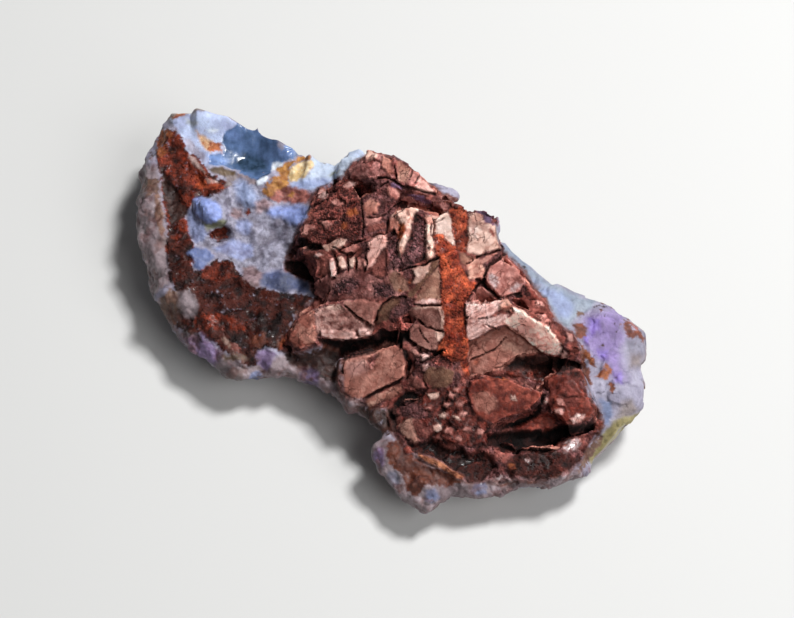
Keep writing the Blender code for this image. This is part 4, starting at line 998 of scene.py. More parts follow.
# Painted shade, the deepest part of the cavity.
patch("painted_shade_gap", [
    (90, -126), (104, -122), (130, -122), (154, -121), (164, -115), (184, -116), (198, -113), (196, -122),
    (180, -125), (166, -128), (160, -136), (144, -143), (124, -143), (104, -141), (92, -136),
], raised=-0.9, soft=0.15)
print(len(PATCHES), "patches so far")

# %% [markdown]
# Last comes the jumble of chips along the front, down to the lower rim, with painted glints on its
# wet chips and painted shade in its gaps.

# %% Patches of the front jumble
patch("wet_maroon", [
    (24, -83), (71, -76), (72, -100), (94, -115), (92, -140), (36, -134), (4, -120), (4, -94),
], shade=0.7, soft=0.2)
CHIPS = [
    (54, -87, 5, 0.9), (63, -94, 4, 1.1), (49, -96, 4.5, 0.8), (32, -99, 4, 0.9), (59, -81, 3.5, 1.0),
    (66, -105, 4, 0.9), (52, -122, 6, 0.9), (70, -120, 5, 0.8), (83, -123, 4, 0.9), (62, -130, 4, 0.8),
    (43, -129, 4, 0.8),
]
for across, up, reach, bright in CHIPS:
    patch("rose", [
        (across - reach, up - 1), (across - 0.3 * reach, up + 0.7 * reach),
        (across + reach, up + 0.3 * reach), (across + 0.4 * reach, up - 0.7 * reach),
    ], flat=0.7, raised=0.15, shade=0.8 * bright)
patch("cream", [(29, -85), (36, -84), (42, -83), (40, -89), (34, -92)], flat=0.6, raised=0.1, shade=0.8)
patch("cream", [(42, -106), (46, -103), (50, -105), (49, -109), (44, -109)],
      flat=0.6, raised=0.15, shade=0.8)
patch("cream", [(55, -107), (62, -108), (64, -110), (58, -110)], raised=0.1, shade=0.8)
patch("cream_white", [(37, -117), (41, -114), (44, -116), (44, -121), (40, -123), (37, -120)],
      flat=0.6, raised=0.2, shade=0.85)
patch("plum", [(1, -98), (10, -92), (22, -96), (30, -104), (26, -110), (14, -108), (4, -108)],
      flat=0.5, raised=-0.15)
# Painted shade in a gap of the jumble.
patch("painted_shade_gap", [(-4, -96), (2, -88), (10, -82), (18, -83), (24, -88), (16, -92), (6, -96), (-2, -100)],
      raised=-0.3)
patch("shadow_brown", [(-10, -100), (0, -98), (1, -108), (1, -122), (-6, -124), (-10, -120)], soft=0.2)
patch("maroon_rose", [
    (14, -111), (20, -110), (28, -114), (34, -122), (32, -129), (24, -130), (19, -124), (16, -116),
], flat=0.5, shade=0.8)
patch("tan", [
    (3, -117), (8, -111), (13, -110), (16, -118), (19, -126), (23, -132), (19, -134), (12, -131), (6, -126),
    (3, -122),
], flat=0.6, raised=0.2, shade=0.75)
# Dark wet maroon chips, with a low shade: painted shade of the gap under the jumble.
patch("wet_maroon", [
    (10, -134), (24, -134), (36, -131), (50, -139), (64, -140), (72, -145), (86, -142), (94, -146),
    (98, -158), (86, -172), (72, -174), (66, -166), (56, -159), (44, -150), (28, -144), (18, -144),
], raised=-0.45, soft=0.2, shade=0.25)
patch("orange_tan", [
    (22, -144), (30, -148), (42, -152), (52, -158), (59, -162), (67, -167), (66, -170), (60, -170),
    (50, -163), (38, -157), (28, -153), (22, -148),
], raised=0.2, shade=0.7)
patch("glossy_red", [(6, -140), (10, -136), (18, -139), (20, -143), (12, -145)], raised=0.1, shade=1.2)
# Dark wet maroon chips, with a low shade: painted shade of the gap below the blocks.
patch("wet_maroon", [
    (108, -156), (116, -146), (134, -143), (156, -140), (176, -146), (181, -152), (166, -166), (150, -170),
    (130, -170), (116, -166),
], raised=0.1, shade=0.35)
patch("orange_rust", [(111, -155), (118, -154), (119, -160), (112, -161)], raised=0.1, shade=0.6)
# Painted glints on the wet chips.
patch("painted_glint", [
    (165, -136), (170, -130), (176, -129), (182, -130), (184, -135), (179, -140), (170, -143), (166, -142),
], flat=0.5, raised=0.1, soft=0.25, shade=0.9)
patch("painted_glint", [(127, -150), (132, -149), (136, -152), (134, -154), (129, -153)], flat=0.5, raised=0.1)
patch("painted_glint", [(96, -170), (102, -167), (105, -165), (104, -171), (100, -175), (97, -174)], flat=0.5)
patch("painted_glint", [(110, -169), (115, -171), (119, -176), (114, -177)], flat=0.5)
patch("bright_white", [(83.5, -174), (85.5, -174), (85.5, -176), (83.5, -176)], soft=0.05)
print(len(PATCHES), "patches in all")

# %% [markdown]
# ## Cracks
#
# Cracks run between the ironstone's faces. Each is an open line on the sheet, with its half width. The
# glassy end is outlined here too, because it is shaped apart from the rest of the opal.

# %% Cracks
GLASSY_OUTLINE = mm_of([
    (-226, 204), (-204, 216), (-154, 202), (-126, 190), (-84, 169), (-112, 148), (-142, 128), (-170, 142),
    (-196, 144), (-214, 170),
])
HAIR, FINE, THICK = 0.07, 0.11, 0.20
CRACKS = [(mm_of(points), width) for points, width in (
    ([(-9, 153), (-5, 150), (-2, 140), (-1, 131)], FINE),
    ([(16, 141), (14, 133), (10, 125)], FINE),
    ([(22, 133), (19, 126)], FINE),
    ([(-20, 131), (-12, 132), (-4, 129), (5, 122), (16, 120), (27, 117), (38, 114.5)], THICK),
    ([(-28, 115), (-20, 121), (-9, 127)], FINE),
    ([(-9, 97), (-2, 103), (5, 107), (10, 107)], FINE),
    ([(-5, 92), (4, 98), (10, 103)], HAIR),
    ([(-30, 92), (-21, 92), (-12, 95)], FINE),
    ([(-36, 110), (-35, 97), (-34, 86), (-35, 72)], FINE),
    ([(-26, 73), (-18, 75), (-11, 76), (-9, 91)], FINE),
    ([(-84, 103), (-75, 108), (-69, 110)], FINE),
    ([(-80, 89.5), (-70, 90), (-60, 90)], FINE),
    ([(-71, 116), (-61, 117)], HAIR),
    ([(-65, 62), (-59, 59), (-50, 63), (-40, 68), (-32, 69.5)], FINE),
    ([(-59, 58), (-50, 54.5), (-43, 56)], FINE),
    ([(-62, 54), (-60, 45), (-59, 36), (-64, 30)], FINE),
    ([(-50, 53), (-49, 45), (-49, 39)], FINE),
    ([(-41, 52), (-40.5, 45), (-42, 40)], FINE),
    ([(-32, 52), (-30, 44), (-33, 38)], FINE),
    ([(36, 97), (37.5, 84), (37, 75)], FINE),
    ([(39, 87), (47, 91)], HAIR),
    ([(2, 38), (16, 42), (28, 45), (39, 50), (42, 52)], FINE),
    ([(78, 51), (86, 54), (93, 56), (103, 59.5)], FINE),
    ([(107, 55), (101, 50), (93, 45), (89, 38), (86, 29)], THICK),
    ([(70, 45), (76, 49)], FINE),
    ([(85, 27), (89, 21), (95, 16), (101, 11)], THICK),
    ([(86, 28), (79, 22), (74, 15), (71, 8)], FINE),
    ([(79, 29.5), (85, 27.5)], FINE),
    ([(72, 6), (83, 6.5), (93, 8), (104, 10)], FINE),
    ([(101, 11.5), (109, 12), (117, 14), (124, 16)], FINE),
    ([(81, -10), (90, -9)], HAIR),
    ([(89, -16), (96, -19), (102, -21)], HAIR),
    ([(131, 11), (139, 9.5)], HAIR),
    ([(139, 6), (144, 4)], HAIR),
    ([(138, -4), (146, -4)], HAIR),
    ([(17, 4.5), (26, 3.5), (35, 4), (44, 4)], FINE),
    ([(21, -10), (30, -18), (39, -21), (45, -22)], FINE),
    ([(22, -19), (26, -28), (32, -34)], HAIR),
    ([(23, -54), (31, -50), (41, -44), (47, -41)], THICK),
    ([(12, -30), (19, -37), (31, -42), (39, -44)], FINE),
    ([(-52, 3), (-41, -7), (-29, -15), (-24, -18)], FINE),
    ([(-23, -17), (-19, -4), (-15, 4), (-6, 11), (9, 12)], FINE),
    ([(-31, -89), (-21, -83), (-10, -78), (1, -73), (6, -69)], THICK),
    ([(109, -28), (98, -41), (73, -51)], HAIR),
)]
print(len(CRACKS), "cracks")

# %% [markdown]
# ## The fine skin
#
# The loaded solid stays as it is. A copy of it is cut into even squares of 0.14 mm, fine enough for
# each mark that follows. From here on its points are plain numbers in mm.

# %% The fine skin
SKIN_STEP = 0.14
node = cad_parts["rough_opal"]


def finely_squared(source, step):
    """A welded copy of an object's mesh, cut into even squares of this size in mm."""
    weld = bmesh.new()
    weld.from_mesh(source.data)
    weld.transform(source.matrix_world)
    bmesh.ops.remove_doubles(weld, verts=weld.verts, dist=1e-6)
    tree = BVHTree.FromBMesh(weld)
    welded = bpy.data.meshes.new("welded")
    weld.to_mesh(welded)
    weld.free()
    holder = bpy.data.objects.new("welded", welded)
    bpy.context.scene.collection.objects.link(holder)
    squares = holder.modifiers.new("squares", "REMESH")
    squares.mode = "VOXEL"
    squares.voxel_size = step * MM
    shown = holder.evaluated_get(bpy.context.evaluated_depsgraph_get())
    mesh = bpy.data.meshes.new_from_object(shown)
    bpy.data.objects.remove(holder)
    return mesh, tree


def points_of(mesh):
    """The mesh's points in mm."""
    flat = np.empty(len(mesh.vertices) * 3, np.float32)
    mesh.vertices.foreach_get("co", flat)
    return flat.reshape(-1, 3).astype(float) / MM


skin, stone_tree = finely_squared(node, SKIN_STEP)
first = points_of(skin)
edges = np.empty(len(skin.edges) * 2, np.int32)
skin.edges.foreach_get("vertices", edges)
edges = edges.reshape(-1, 2)
squares = np.empty(len(skin.polygons) * 4, np.int32)
skin.polygons.foreach_get("vertices", squares)
squares = squares.reshape(-1, 4)
neighbours = np.bincount(edges.ravel(), minlength=len(first))
print("the fine skin has", len(first), "points and", len(squares), "squares")

# %% [markdown]
# ## Which points the eye sees
#
# A mark on the sheet belongs only to the surface that the eye meets first. So each point looks back
# along its line of sight. If the stone itself is in the way, the point takes no marks. A hidden point
# close to seen ones is the kind of stone that is seen there, so that no opal shows inside the crust's
# deep hollows. The other hidden points follow the simple rule.

# %% Seen from the eye, and crust or opal
LOOK_START = 0.3
FACING_LEAST = 0.04
SEEN_ROUNDS = 3
RIM_ROUNDS = 20  # how far the seen kind of stone reaches over an edge
CONTACT_SOFT = 0.12
BACK_WANDER, BACK_WANDER_SIZE = 1.2, 3.5


def averaged(values, rounds=1):
    """Values at the points, each replaced by the mean of its neighbours, this many times."""
    for _ in range(rounds):
        columns = values.reshape(len(first), -1).T
        means = [np.bincount(edges[:, 0], column[edges[:, 1]], len(first))
                 + np.bincount(edges[:, 1], column[edges[:, 0]], len(first)) for column in columns]
        values = (np.stack(means, axis=1) / neighbours[:, None]).reshape(values.shape)
    return values


def facing_of(spots):
    """The direction in which each point of the skin faces."""
    corners = [spots[squares[:, k]] for k in range(4)]
    across = np.cross(corners[2] - corners[0], corners[3] - corners[1])
    total = np.stack([np.bincount(squares.ravel(), np.repeat(across[:, k], 4), len(spots))
                      for k in range(3)], axis=1)
    return total / np.maximum(np.linalg.norm(total, axis=1), 1e-12)[:, None]


def seen_share(spots, facing):
    """1 where the eye sees the point, 0 where it doesn't, softened over a few neighbours."""
    to_eye = SHEET_MIDDLE + TO_EYE * SIGHT_DISTANCE - spots
    to_eye /= np.linalg.norm(to_eye, axis=1)[:, None]
    seen = (facing * to_eye).sum(axis=1) > FACING_LEAST
    starts = (spots + (facing + to_eye) * LOOK_START) * MM
    for number in np.nonzero(seen)[0]:
        hit = stone_tree.ray_cast(Vector(starts[number]), Vector(to_eye[number]))
        seen[number] = hit[0] is None
    return averaged(seen.astype(float), SEEN_ROUNDS)


seen = seen_share(first, facing_of(first))
border_noise = BORDER_WANDER * rough_noise(first, EDGE_WANDER_SIZE, 3)
drawn_crust = inside_patch(on_sheet(first) + border_noise[:, None], CRUST_OUTLINE, CONTACT_SOFT)
back_line = BACK_CONTACT_HEIGHT + BACK_WANDER * rough_noise(first, BACK_WANDER_SIZE, 5)
back_start, back_end = (eased(first[:, 0], end - 1, end + 1) for end in BACK_CRUST_ENDS)
back_crust = eased(first[:, 2] - back_line, -0.1, 0.1) * (back_start * (1 - back_end))
seen_near = averaged(seen, RIM_ROUNDS)
crust_near = averaged(drawn_crust * seen, RIM_ROUNDS) / np.maximum(seen_near, 0.001)
near_share = eased(seen_near, 0.02, 0.12)
hidden_kind = back_crust + (eased(crust_near, 0.4, 0.6) - back_crust) * near_share
crust = drawn_crust * seen + hidden_kind * (1 - seen)
print("seen:", seen.mean().round(3), " crust:", crust.mean().round(3))

# %% [markdown]
# ## Broken faces and worn lumps
#
# Ironstone breaks along flat faces, so its skin is gathered into cells, and each cell is pressed
# towards a plane of its own, a little raised and tipped. Opal has no such faces. It is smoothed, and
# moved back out by what the smoothing took, so that the outline stays. The glassy end is smoothed most.

# %% Shape of the crust and the opal
OPAL_ROUNDS = 10
CRUST_ROUNDS = 2
GLASS_ROUNDS = 110
# How far a kind's borders bend, the size and seed of the bends, then the cells' size and seed.
BIG_CELLS = (0.35, 0.9, 8, 2.3, 21)
SMALL_CELLS = (0.12, 0.5, 9, 0.85, 22)
KNOB_CELLS = (0.3, 0.8, 65, 0.95, 66)


def bent_cells(spots, kind):
    """Cell noise of this kind, with its borders bent by soft noise."""
    bend, bend_size, bend_seed, size, seed = kind
    return cell_noise(spots + bend * soft_noise(spots, bend_size, bend_seed)[:, None], size, seed)


def pressed(spots, facing, groups, share, step, tip, seed):
    """The move that presses each group of points towards its own plane, raised and tipped by chance."""
    chance = np.random.default_rng(seed)
    size = np.bincount(groups)[:, None]
    middle = np.stack([np.bincount(groups, spots[:, k]) for k in range(3)], axis=1) / size
    outward = np.stack([np.bincount(groups, facing[:, k]) for k in range(3)], axis=1) / size
    outward += chance.normal(0, tip, outward.shape)
    outward /= np.maximum(np.linalg.norm(outward, axis=1), 0.05)[:, None]
    raised = chance.uniform(-step, step, len(size))
    height = ((spots - middle[groups]) * outward[groups]).sum(axis=1)
    return outward[groups] * (raised[groups] - share * height)[:, None]


smooth = averaged(first, OPAL_ROUNDS)
smooth_facing = facing_of(smooth)
shrunk = averaged(((first - smooth) * smooth_facing).sum(axis=1), 5)
smooth += smooth_facing * shrunk[:, None]
in_glass = inside_patch(on_sheet(first), GLASSY_OUTLINE, 0.6)[:, None]
smooth += (averaged(smooth, GLASS_ROUNDS) - smooth) * in_glass
crisp = averaged(first, CRUST_ROUNDS)
spots = crisp * crust[:, None] + smooth * (1 - crust)[:, None]
facing = facing_of(averaged(spots, 4))

in_big_cells = bent_cells(first, BIG_CELLS)[0]
in_small_cells = bent_cells(first, SMALL_CELLS)[0]
big_move = pressed(spots, facing, in_big_cells, share=0.55, step=0.16, tip=0.10, seed=31)
small_move = pressed(spots, facing, in_small_cells, share=0.5, step=0.07, tip=0.12, seed=32)
print("cells:", in_big_cells.max() + 1, "big and", in_small_cells.max() + 1, "small")

# %% [markdown]
# The patches come next. A patch that is a face is pressed flat as one, so the cells leave it alone.
# The clean opal on the right has no drawn faces, so there the big cells give it large, easy facets.

# %% Patches pressed, raised and ribbed
FLAT_REACH = 0.9  # a patch pulls no point farther than this, mm
FLAT_COVERS, FLAT_HOLDS = 2, 1.4  # how soon a flat patch undoes the patches below it, and the cells
PRESS_SOFT = 0.12  # the least softness of a pressed border, mm
FEWEST_POINTS = 8
RIB_WANDER, RIB_WANDER_SIZE = 0.25, 1.5
CLEAN_STARTS = (9.0, 12.0)  # across the sheet, where the clean opal on the right begins
CLEAN_FACETS = 0.8

sheet = on_sheet(spots) + border_noise[:, None]
patch_move = np.zeros_like(spots)
held = np.zeros(len(spots))
plainly_seen = eased(seen, 0.3, 0.9)
for _, points, flat, raised, soft, _, ribs in PATCHES:
    if not (flat or raised or ribs):
        continue
    inside = inside_patch(sheet, points, max(soft, PRESS_SOFT)) * plainly_seen
    members = np.nonzero(inside > 0.01)[0]
    if len(members) < FEWEST_POINTS:
        continue
    share = inside[members]
    middle = np.average(spots[members], axis=0, weights=share)
    outward = np.average(facing[members], axis=0, weights=share)
    outward /= np.linalg.norm(outward)
    height = np.clip((spots[members] - middle) @ outward, -FLAT_REACH, FLAT_REACH)
    patch_move[members] *= (1 - share * min(flat * FLAT_COVERS, 1.0))[:, None]
    patch_move[members] += outward * (share * (raised - flat * height))[:, None]
    if ribs:
        heading, spacing, depth = ribs
        turn = math.radians(heading)
        over = sheet[members] @ np.array((-math.sin(turn), math.cos(turn)))
        over += RIB_WANDER * spacing * soft_noise(spots[members], RIB_WANDER_SIZE, 41)
        wave = np.abs(over / spacing % 1 - 0.5) * 2
        patch_move[members] += outward * (share * depth * (wave - 0.5))[:, None]
    held[members] = np.maximum(held[members] * (1 - share), share * min(flat * FLAT_HOLDS, 1.0))
cell_share = (crust * (1 - held))[:, None]
clean = (eased(on_sheet(first)[:, 0], *CLEAN_STARTS) * (1 - crust))[:, None]
spots += patch_move + big_move * (cell_share + CLEAN_FACETS * clean) + small_move * cell_share
print("largest patch move:", np.abs(patch_move).max().round(2), "mm")

# %% [markdown]
# Then come the lumps of the opal and the sandy grain of the crust. Knobs stand along the opal's rim.
# The glassy end has only the faint ripples of a shell-like break. Where the opal has a rusty, sandy
# skin, that skin's own rough relief takes the place of the lumps.

# %% Lumps, ripples and grain
# All heights are in mm.
LUMP_HEIGHT, SMALL_LUMP_HEIGHT = 0.24, 0.16
CLEAN_LESS = 0.65  # the clean opal's lumps are lower
RIPPLE_CENTRE = np.array((-17.5, 10.5))  # on the sheet, where the glassy break started
RIPPLE_SPACING, RIPPLE_HEIGHT, GLASS_NOISE = 0.9, 0.008, 0.025
KNOB_HEIGHT = 0.17
KNOBBY_OUTLINE = mm_of([
    (-270, 170), (-244, 170), (-236, 120), (-228, 60), (-224, 20), (-200, -20), (-150, -50), (-90, -54),
    (-40, -96), (-10, -126), (16, -156), (70, -176), (140, -174), (194, -154), (220, -200), (0, -240),
    (-280, -100),
])
RUSTY_FINISHES = ("rust_dark", "maroon_skin", "bright_rust", "rust_vein", "shadow_brown")
SKIN_HEIGHT, FINE_SKIN_HEIGHT, SKIN_ON_CRUST = 0.20, 0.10, 0.45
GRAIN_HEIGHT = 0.05

sheet = on_sheet(spots)
facing = facing_of(averaged(spots, 2))
glassy = inside_patch(sheet, GLASSY_OUTLINE, 0.5)
lumps = LUMP_HEIGHT * rough_noise(first, 1.7, 51) + SMALL_LUMP_HEIGHT * rough_noise(first, 0.6, 52)
from_centre = np.linalg.norm(sheet - RIPPLE_CENTRE, axis=1) + 0.3 * soft_noise(first, 2.0, 53)
ripples = RIPPLE_HEIGHT * np.sin(from_centre * 2 * math.pi / RIPPLE_SPACING)
ripples += GLASS_NOISE * soft_noise(first, 1.3, 54)
lumps *= 1 - CLEAN_LESS * clean[:, 0]
knobs = eased(bent_cells(first, KNOB_CELLS)[1], -0.1, 0.45)
knobs *= eased(rough_noise(first, 2.2, 69), -0.25, 0.25)
knobs *= inside_patch(sheet, KNOBBY_OUTLINE, 0.6)
opal_height = lumps * (1 - glassy) + ripples * glassy + KNOB_HEIGHT * knobs
rusty = np.zeros(len(first))
for finish, points, _, _, soft, _, _ in PATCHES:
    if finish in RUSTY_FINISHES:
        rusty = np.maximum(rusty, inside_patch(sheet, points, max(soft, 0.2)))
rusty *= seen * (1 - glassy)
skin_relief = SKIN_HEIGHT * rough_noise(first, 0.95, 67) + FINE_SKIN_HEIGHT * rough_noise(first, 0.34, 70)
opal_height += (skin_relief - 0.5 * opal_height) * rusty
grain = GRAIN_HEIGHT * rough_noise(first, 0.3, 55) + GRAIN_HEIGHT * soft_noise(first, 0.7, 56)
grain += SKIN_ON_CRUST * skin_relief * rusty
height = opal_height * (1 - crust) + grain * crust * (1 - 0.6 * held)
print("heights from", height.min().round(2), "to", height.max().round(2), "mm")

# %% [markdown]
# The cracks are cut into the skin as grooves.

# %% Cracks cut
CRACK_DEPTH = 0.35
CRACK_WOBBLE = 0.08


def crack_shares(on_the_sheet):
    """How deep each sheet point lies in a crack, from 0 to 1."""
    deep = np.zeros(len(on_the_sheet))
    for points, width in CRACKS:
        close = near(on_the_sheet, points, width)
        away, _ = line_distance(on_the_sheet[close], points, False)
        deep[close] = np.maximum(deep[close], 1 - eased(away, 0.25 * width, width))
    return deep


wobble = np.stack((soft_noise(first, 0.4, 57), soft_noise(first, 0.4, 58)), axis=1)
crack = crack_shares(sheet + CRACK_WOBBLE * wobble) * seen
height -= CRACK_DEPTH * crack
spots += facing * height[:, None]
low, high = (np.array(corner) / MM for corner in cad_box)
spots = np.clip(spots, low, high)
print("in a crack:", (crack > 0.5).sum(), "points")

# %% [markdown]
# The glassy end broke off along one straight ridge, which is the stone's outline there. The lumps have
# made that edge uneven. So the outline's height is measured in short steps along the ridge, the skin
# is raised or lowered to meet the drawn line, and the edge is smoothed once more.

# %% The glassy ridge
RIDGE = mm_of([(-207, 204.5), (-157, 187.5), (-124, 174), (-97, 160)])
RIDGE_STEP, RIDGE_BINS = 0.3, 37
RIDGE_SPREAD = 7  # how many steps are averaged
RIDGE_DEPTH = 3.5  # how far below the ridge the skin moves along with it
RIDGE_END = 0.8
RIDGE_ROUNDS = 14
RIDGE_SMOOTHED = (-1.6, -0.6)  # up from the ridge, where the smoothing fades in

ridge_start, ridge_stop = RIDGE[0][0], RIDGE[-1][0]
sheet = on_sheet(spots)
ridge_up = np.interp(sheet[:, 0], [x for x, _ in RIDGE], [y for _, y in RIDGE])
on_ridge = (sheet[:, 0] > ridge_start) & (sheet[:, 0] < ridge_stop)
bins = np.clip(((sheet[:, 0] - ridge_start) / RIDGE_STEP).astype(int), 0, RIDGE_BINS - 1)
top = np.full(RIDGE_BINS, -np.inf)
np.maximum.at(top, bins[on_ridge], (sheet[:, 1] - ridge_up)[on_ridge])
spread = np.ones(RIDGE_SPREAD) / RIDGE_SPREAD
lift = np.interp(sheet[:, 0], ridge_start + (np.arange(RIDGE_BINS) + 0.5) * RIDGE_STEP,
                 np.convolve(np.pad(-top, RIDGE_SPREAD // 2, "edge"), spread, "valid"))
along_ridge = eased(sheet[:, 0], ridge_start, ridge_start + RIDGE_END)
along_ridge *= 1 - eased(sheet[:, 0], ridge_stop - RIDGE_END, ridge_stop)
lift *= along_ridge
lift *= eased(sheet[:, 1] - ridge_up, -RIDGE_DEPTH, -0.2)
spots[:, 2] += lift / UPWARD[2]
beside = (eased(sheet[:, 1] - ridge_up, *RIDGE_SMOOTHED) * along_ridge)[:, None]
spots += (averaged(spots, RIDGE_ROUNDS) - spots) * beside
print("the ridge moved by", lift.min().round(2), "to", lift.max().round(2), "mm")

# %% [markdown]
# All of it fades out towards the floor, and the underside stays flat.

# %% The flat underside
FLOOR_ENDS, FLOOR_FADE = 0.05, 0.9

stays = (1 - eased(first[:, 2], FLOOR_ENDS, FLOOR_FADE))[:, None]
spots = spots * (1 - stays) + averaged(first, 6) * stays
spots[first[:, 2] < FLOOR_ENDS, 2] = 0
spots = np.clip(spots, low, high)
print("the shaped skin reaches from", spots.min(0).round(2), "to", spots.max(0).round(2))

# %% [markdown]
# ## Fewer triangles where nobody looks closely
#
# The shaped skin is thinned. It keeps its finest triangles on the side with the marks and a little way
# over its edges, because the outline is seen there. The rest and the underside get large ones. What
# each point knows about itself goes along: among it how sharply the skin bends there, and how deep the
# point lies in a wide dip.

# %% Thinned skin
TRIANGLES = 330000
FINE_SIDE_FACTOR = 6.0
COARSE_LEVELS = 4
WIDE_ROUNDS = 14


def keep(mesh, name, values):
    """Stores a number or a vector for each point of the mesh."""
    kind, field = ("FLOAT", "value") if values.ndim == 1 else ("FLOAT_VECTOR", "vector")
    column = mesh.attributes.new(name, kind, "POINT")
    column.data.foreach_set(field, values.astype(np.float32).ravel())


def kept(mesh, name):
    """The stored numbers or vectors of a mesh."""
    column = mesh.attributes[name]
    wide = 3 if column.data_type == "FLOAT_VECTOR" else 1
    flat = np.empty(len(column.data) * wide, np.float32)
    column.data.foreach_get("vector" if wide == 3 else "value", flat)
    return flat.reshape(-1, 3).astype(float) if wide == 3 else flat.astype(float)


def set_points(mesh, spots):
    """Moves the mesh's points to these places in mm."""
    mesh.vertices.foreach_set("co", (spots * MM).astype(np.float32).ravel())


set_points(skin, spots)
smooth = averaged(spots, 2)
bend = ((smooth - spots) * facing_of(smooth)).sum(axis=1)
wide = averaged(spots, WIDE_ROUNDS)
dip = averaged(((wide - spots) * facing_of(wide)).sum(axis=1), 1)
for name, values in (("first", first), ("seen", seen), ("crust", crust), ("bend", bend), ("dip", dip),
                     ("held", held)):
    keep(skin, name, values)
holder = bpy.data.objects.new("holder", skin)
bpy.context.scene.collection.objects.link(holder)
coarse_side = holder.vertex_groups.new(name="coarse")
coarse_share = 1 - eased(seen_near, 0.01, 0.15)
for level in range(1, COARSE_LEVELS + 1):
    members = np.nonzero(np.ceil(coarse_share * COARSE_LEVELS) == level)[0]
    coarse_side.add(members.tolist(), level / COARSE_LEVELS, "REPLACE")
thinned = holder.modifiers.new("thinned", "DECIMATE")
thinned.ratio = TRIANGLES / (2 * len(squares))
thinned.use_collapse_triangulate = True
thinned.vertex_group = "coarse"
thinned.vertex_group_factor = FINE_SIDE_FACTOR
shown = holder.evaluated_get(bpy.context.evaluated_depsgraph_get())
skin = bpy.data.meshes.new_from_object(shown)
bpy.data.objects.remove(holder)
spots = np.clip(points_of(skin), low, high)
set_points(skin, spots)
print("the thinned skin has", len(skin.polygons), "triangles")

# %% [markdown]
# ## Paint
#
# Each point now gets its tone, its gloss and its sandiness. First come tones for the sides without
# marks: rusty ironstone above, cloudy lilac opal below, with stains where water ran. The patches go
# over them on the side that faces the eye. Rust and stains on the opal have ragged borders, and the
# sandiest finishes are wet and glossy only in places. Last come the stains between the rim's knobs and
# the rust along the contact.

# %% Paint
STAINS = ("rust_stain", "brown_stain", "orange_rust", "ochre", "red_skin")
RAGGED, RAGGED_SIZE, RAGGED_SOFT = 0.62, 0.32, 0.36
SANDY_LEAST = 0.45  # finishes sandier than this are wet only in places
WET_SIZE, WET_SEED = 0.8, 500
WANDER = 0.16
RIM_STAINED = 0.6
CONTACT_RUST = 0.85

first, seen, crust = kept(skin, "first"), kept(skin, "seen"), kept(skin, "crust")
bend, dip, held = kept(skin, "bend"), kept(skin, "dip"), kept(skin, "held")
sheet = on_sheet(spots)
wander = WANDER * np.stack((rough_noise(first, 0.9, 61), rough_noise(first, 0.9, 62)), axis=1)
wander += WANDER * np.stack((rough_noise(first, 0.34, 63), rough_noise(first, 0.34, 64)), axis=1)
bordered = sheet + wander
everywhere = np.arange(len(first))


def blotched(finish, where, seed):
    """A finish's tone at these points, mixed in blotches, then its sandiness and its gloss."""
    light, dark, size, sandy, glossy = FINISHES[finish]
    mix = eased(rough_noise(first[where], size, seed), -0.55, 0.55)[:, None]
    tone = np.array(dark) + (np.array(light) - np.array(dark)) * mix
    wet = 1.0
    if sandy > SANDY_LEAST:
        wet = eased(rough_noise(first[where], WET_SIZE, seed + WET_SEED), 0.02, 0.22)
    gloss = glossy * (0.5 + 0.5 * wet * np.ones(len(tone)))
    return np.column_stack((tone, np.full(len(tone), sandy), gloss))


def mixed(under, over, share):
    """One paint with another over it, by each point's share of the upper one."""
    return under + (over - under) * share[:, None]


def blotches(size, seed, low, high):
    """Soft blotches from 0 to 1 at every point."""
    return eased(rough_noise(first, size, seed), low, high)


stone_brown = blotched("maroon_rose", everywhere, 71)
hidden_crust = mixed(stone_brown, blotched("salmon", everywhere, 72), blotches(2.6, 73, -0.1, 0.25))
hidden_opal = blotched("lilac_grey", everywhere, 74)
hidden_opal = mixed(hidden_opal, blotched("grey_milky", everywhere, 75), blotches(4.0, 76, -0.1, 0.3))
stained = blotched("brown_stain", everywhere, 77)
hidden_opal = mixed(hidden_opal, stained, 0.85 * blotches(1.6, 78, 0.22, 0.42))
seen_crust = mixed(blotched("plum", everywhere, 79), stone_brown, blotches(1.5, 80, -0.1, 0.2))
seen_paint = mixed(blotched("lilac_white", everywhere, 81), seen_crust, crust)
paint = mixed(mixed(hidden_opal, hidden_crust, crust), seen_paint, seen)

for number, (finish, points, _, _, soft, shade, _) in enumerate(PATCHES):
    wide_soft = max(soft, RAGGED_SOFT)
    where = near(bordered, points, wide_soft)
    where = where[seen[where] > 0.02]
    ragged = number < OPAL_PATCHES and (finish in RUSTY_FINISHES or finish in STAINS)
    share = inside_patch(bordered[where], points, wide_soft if ragged else soft)
    if ragged:
        share = eased(share + RAGGED * rough_noise(first[where], RAGGED_SIZE, 94), 0.3, 0.75)
    share *= eased(seen[where], 0.1, 0.7)
    laid = blotched(finish, where, 100 + number)
    # The shade scales the laid tones: the stone's own colour, and painted light and shade on some faces.
    laid[:, :3] *= shade
    paint[where] = mixed(paint[where], laid, share)
rim_share = RIM_STAINED * blotches(0.9, 97, 0.05, 0.35) * inside_patch(sheet, KNOBBY_OUTLINE, 0.8)
paint = mixed(paint, blotched("rim_stain", everywhere, 98), rim_share * seen * (1 - crust))
contact, _ = line_distance(bordered, CRUST_OUTLINE, True)
rust_share = CONTACT_RUST * (1 - eased(contact, 0.05, 0.34)) * seen * (1 - 0.5 * crust)
paint = mixed(paint, blotched("rust_stain", everywhere, 99), rust_share)
print("painted", len(first), "points")

# %% [markdown]
# Next come the shares of what changes the tones: a dark skin left on parts of the faces and along the
# chips' edges, pale flecks and worn edges. Then come painted shade and light: painted shade in narrow
# hollows, in wide dips, in the gaps between the knobs and on the opal low down, near the floor, and
# painted light on the crust's proud parts.

# %% Skin, flecks, edges and hollows
EDGE_BEND = 0.03
CELL_SPREAD = 0.13

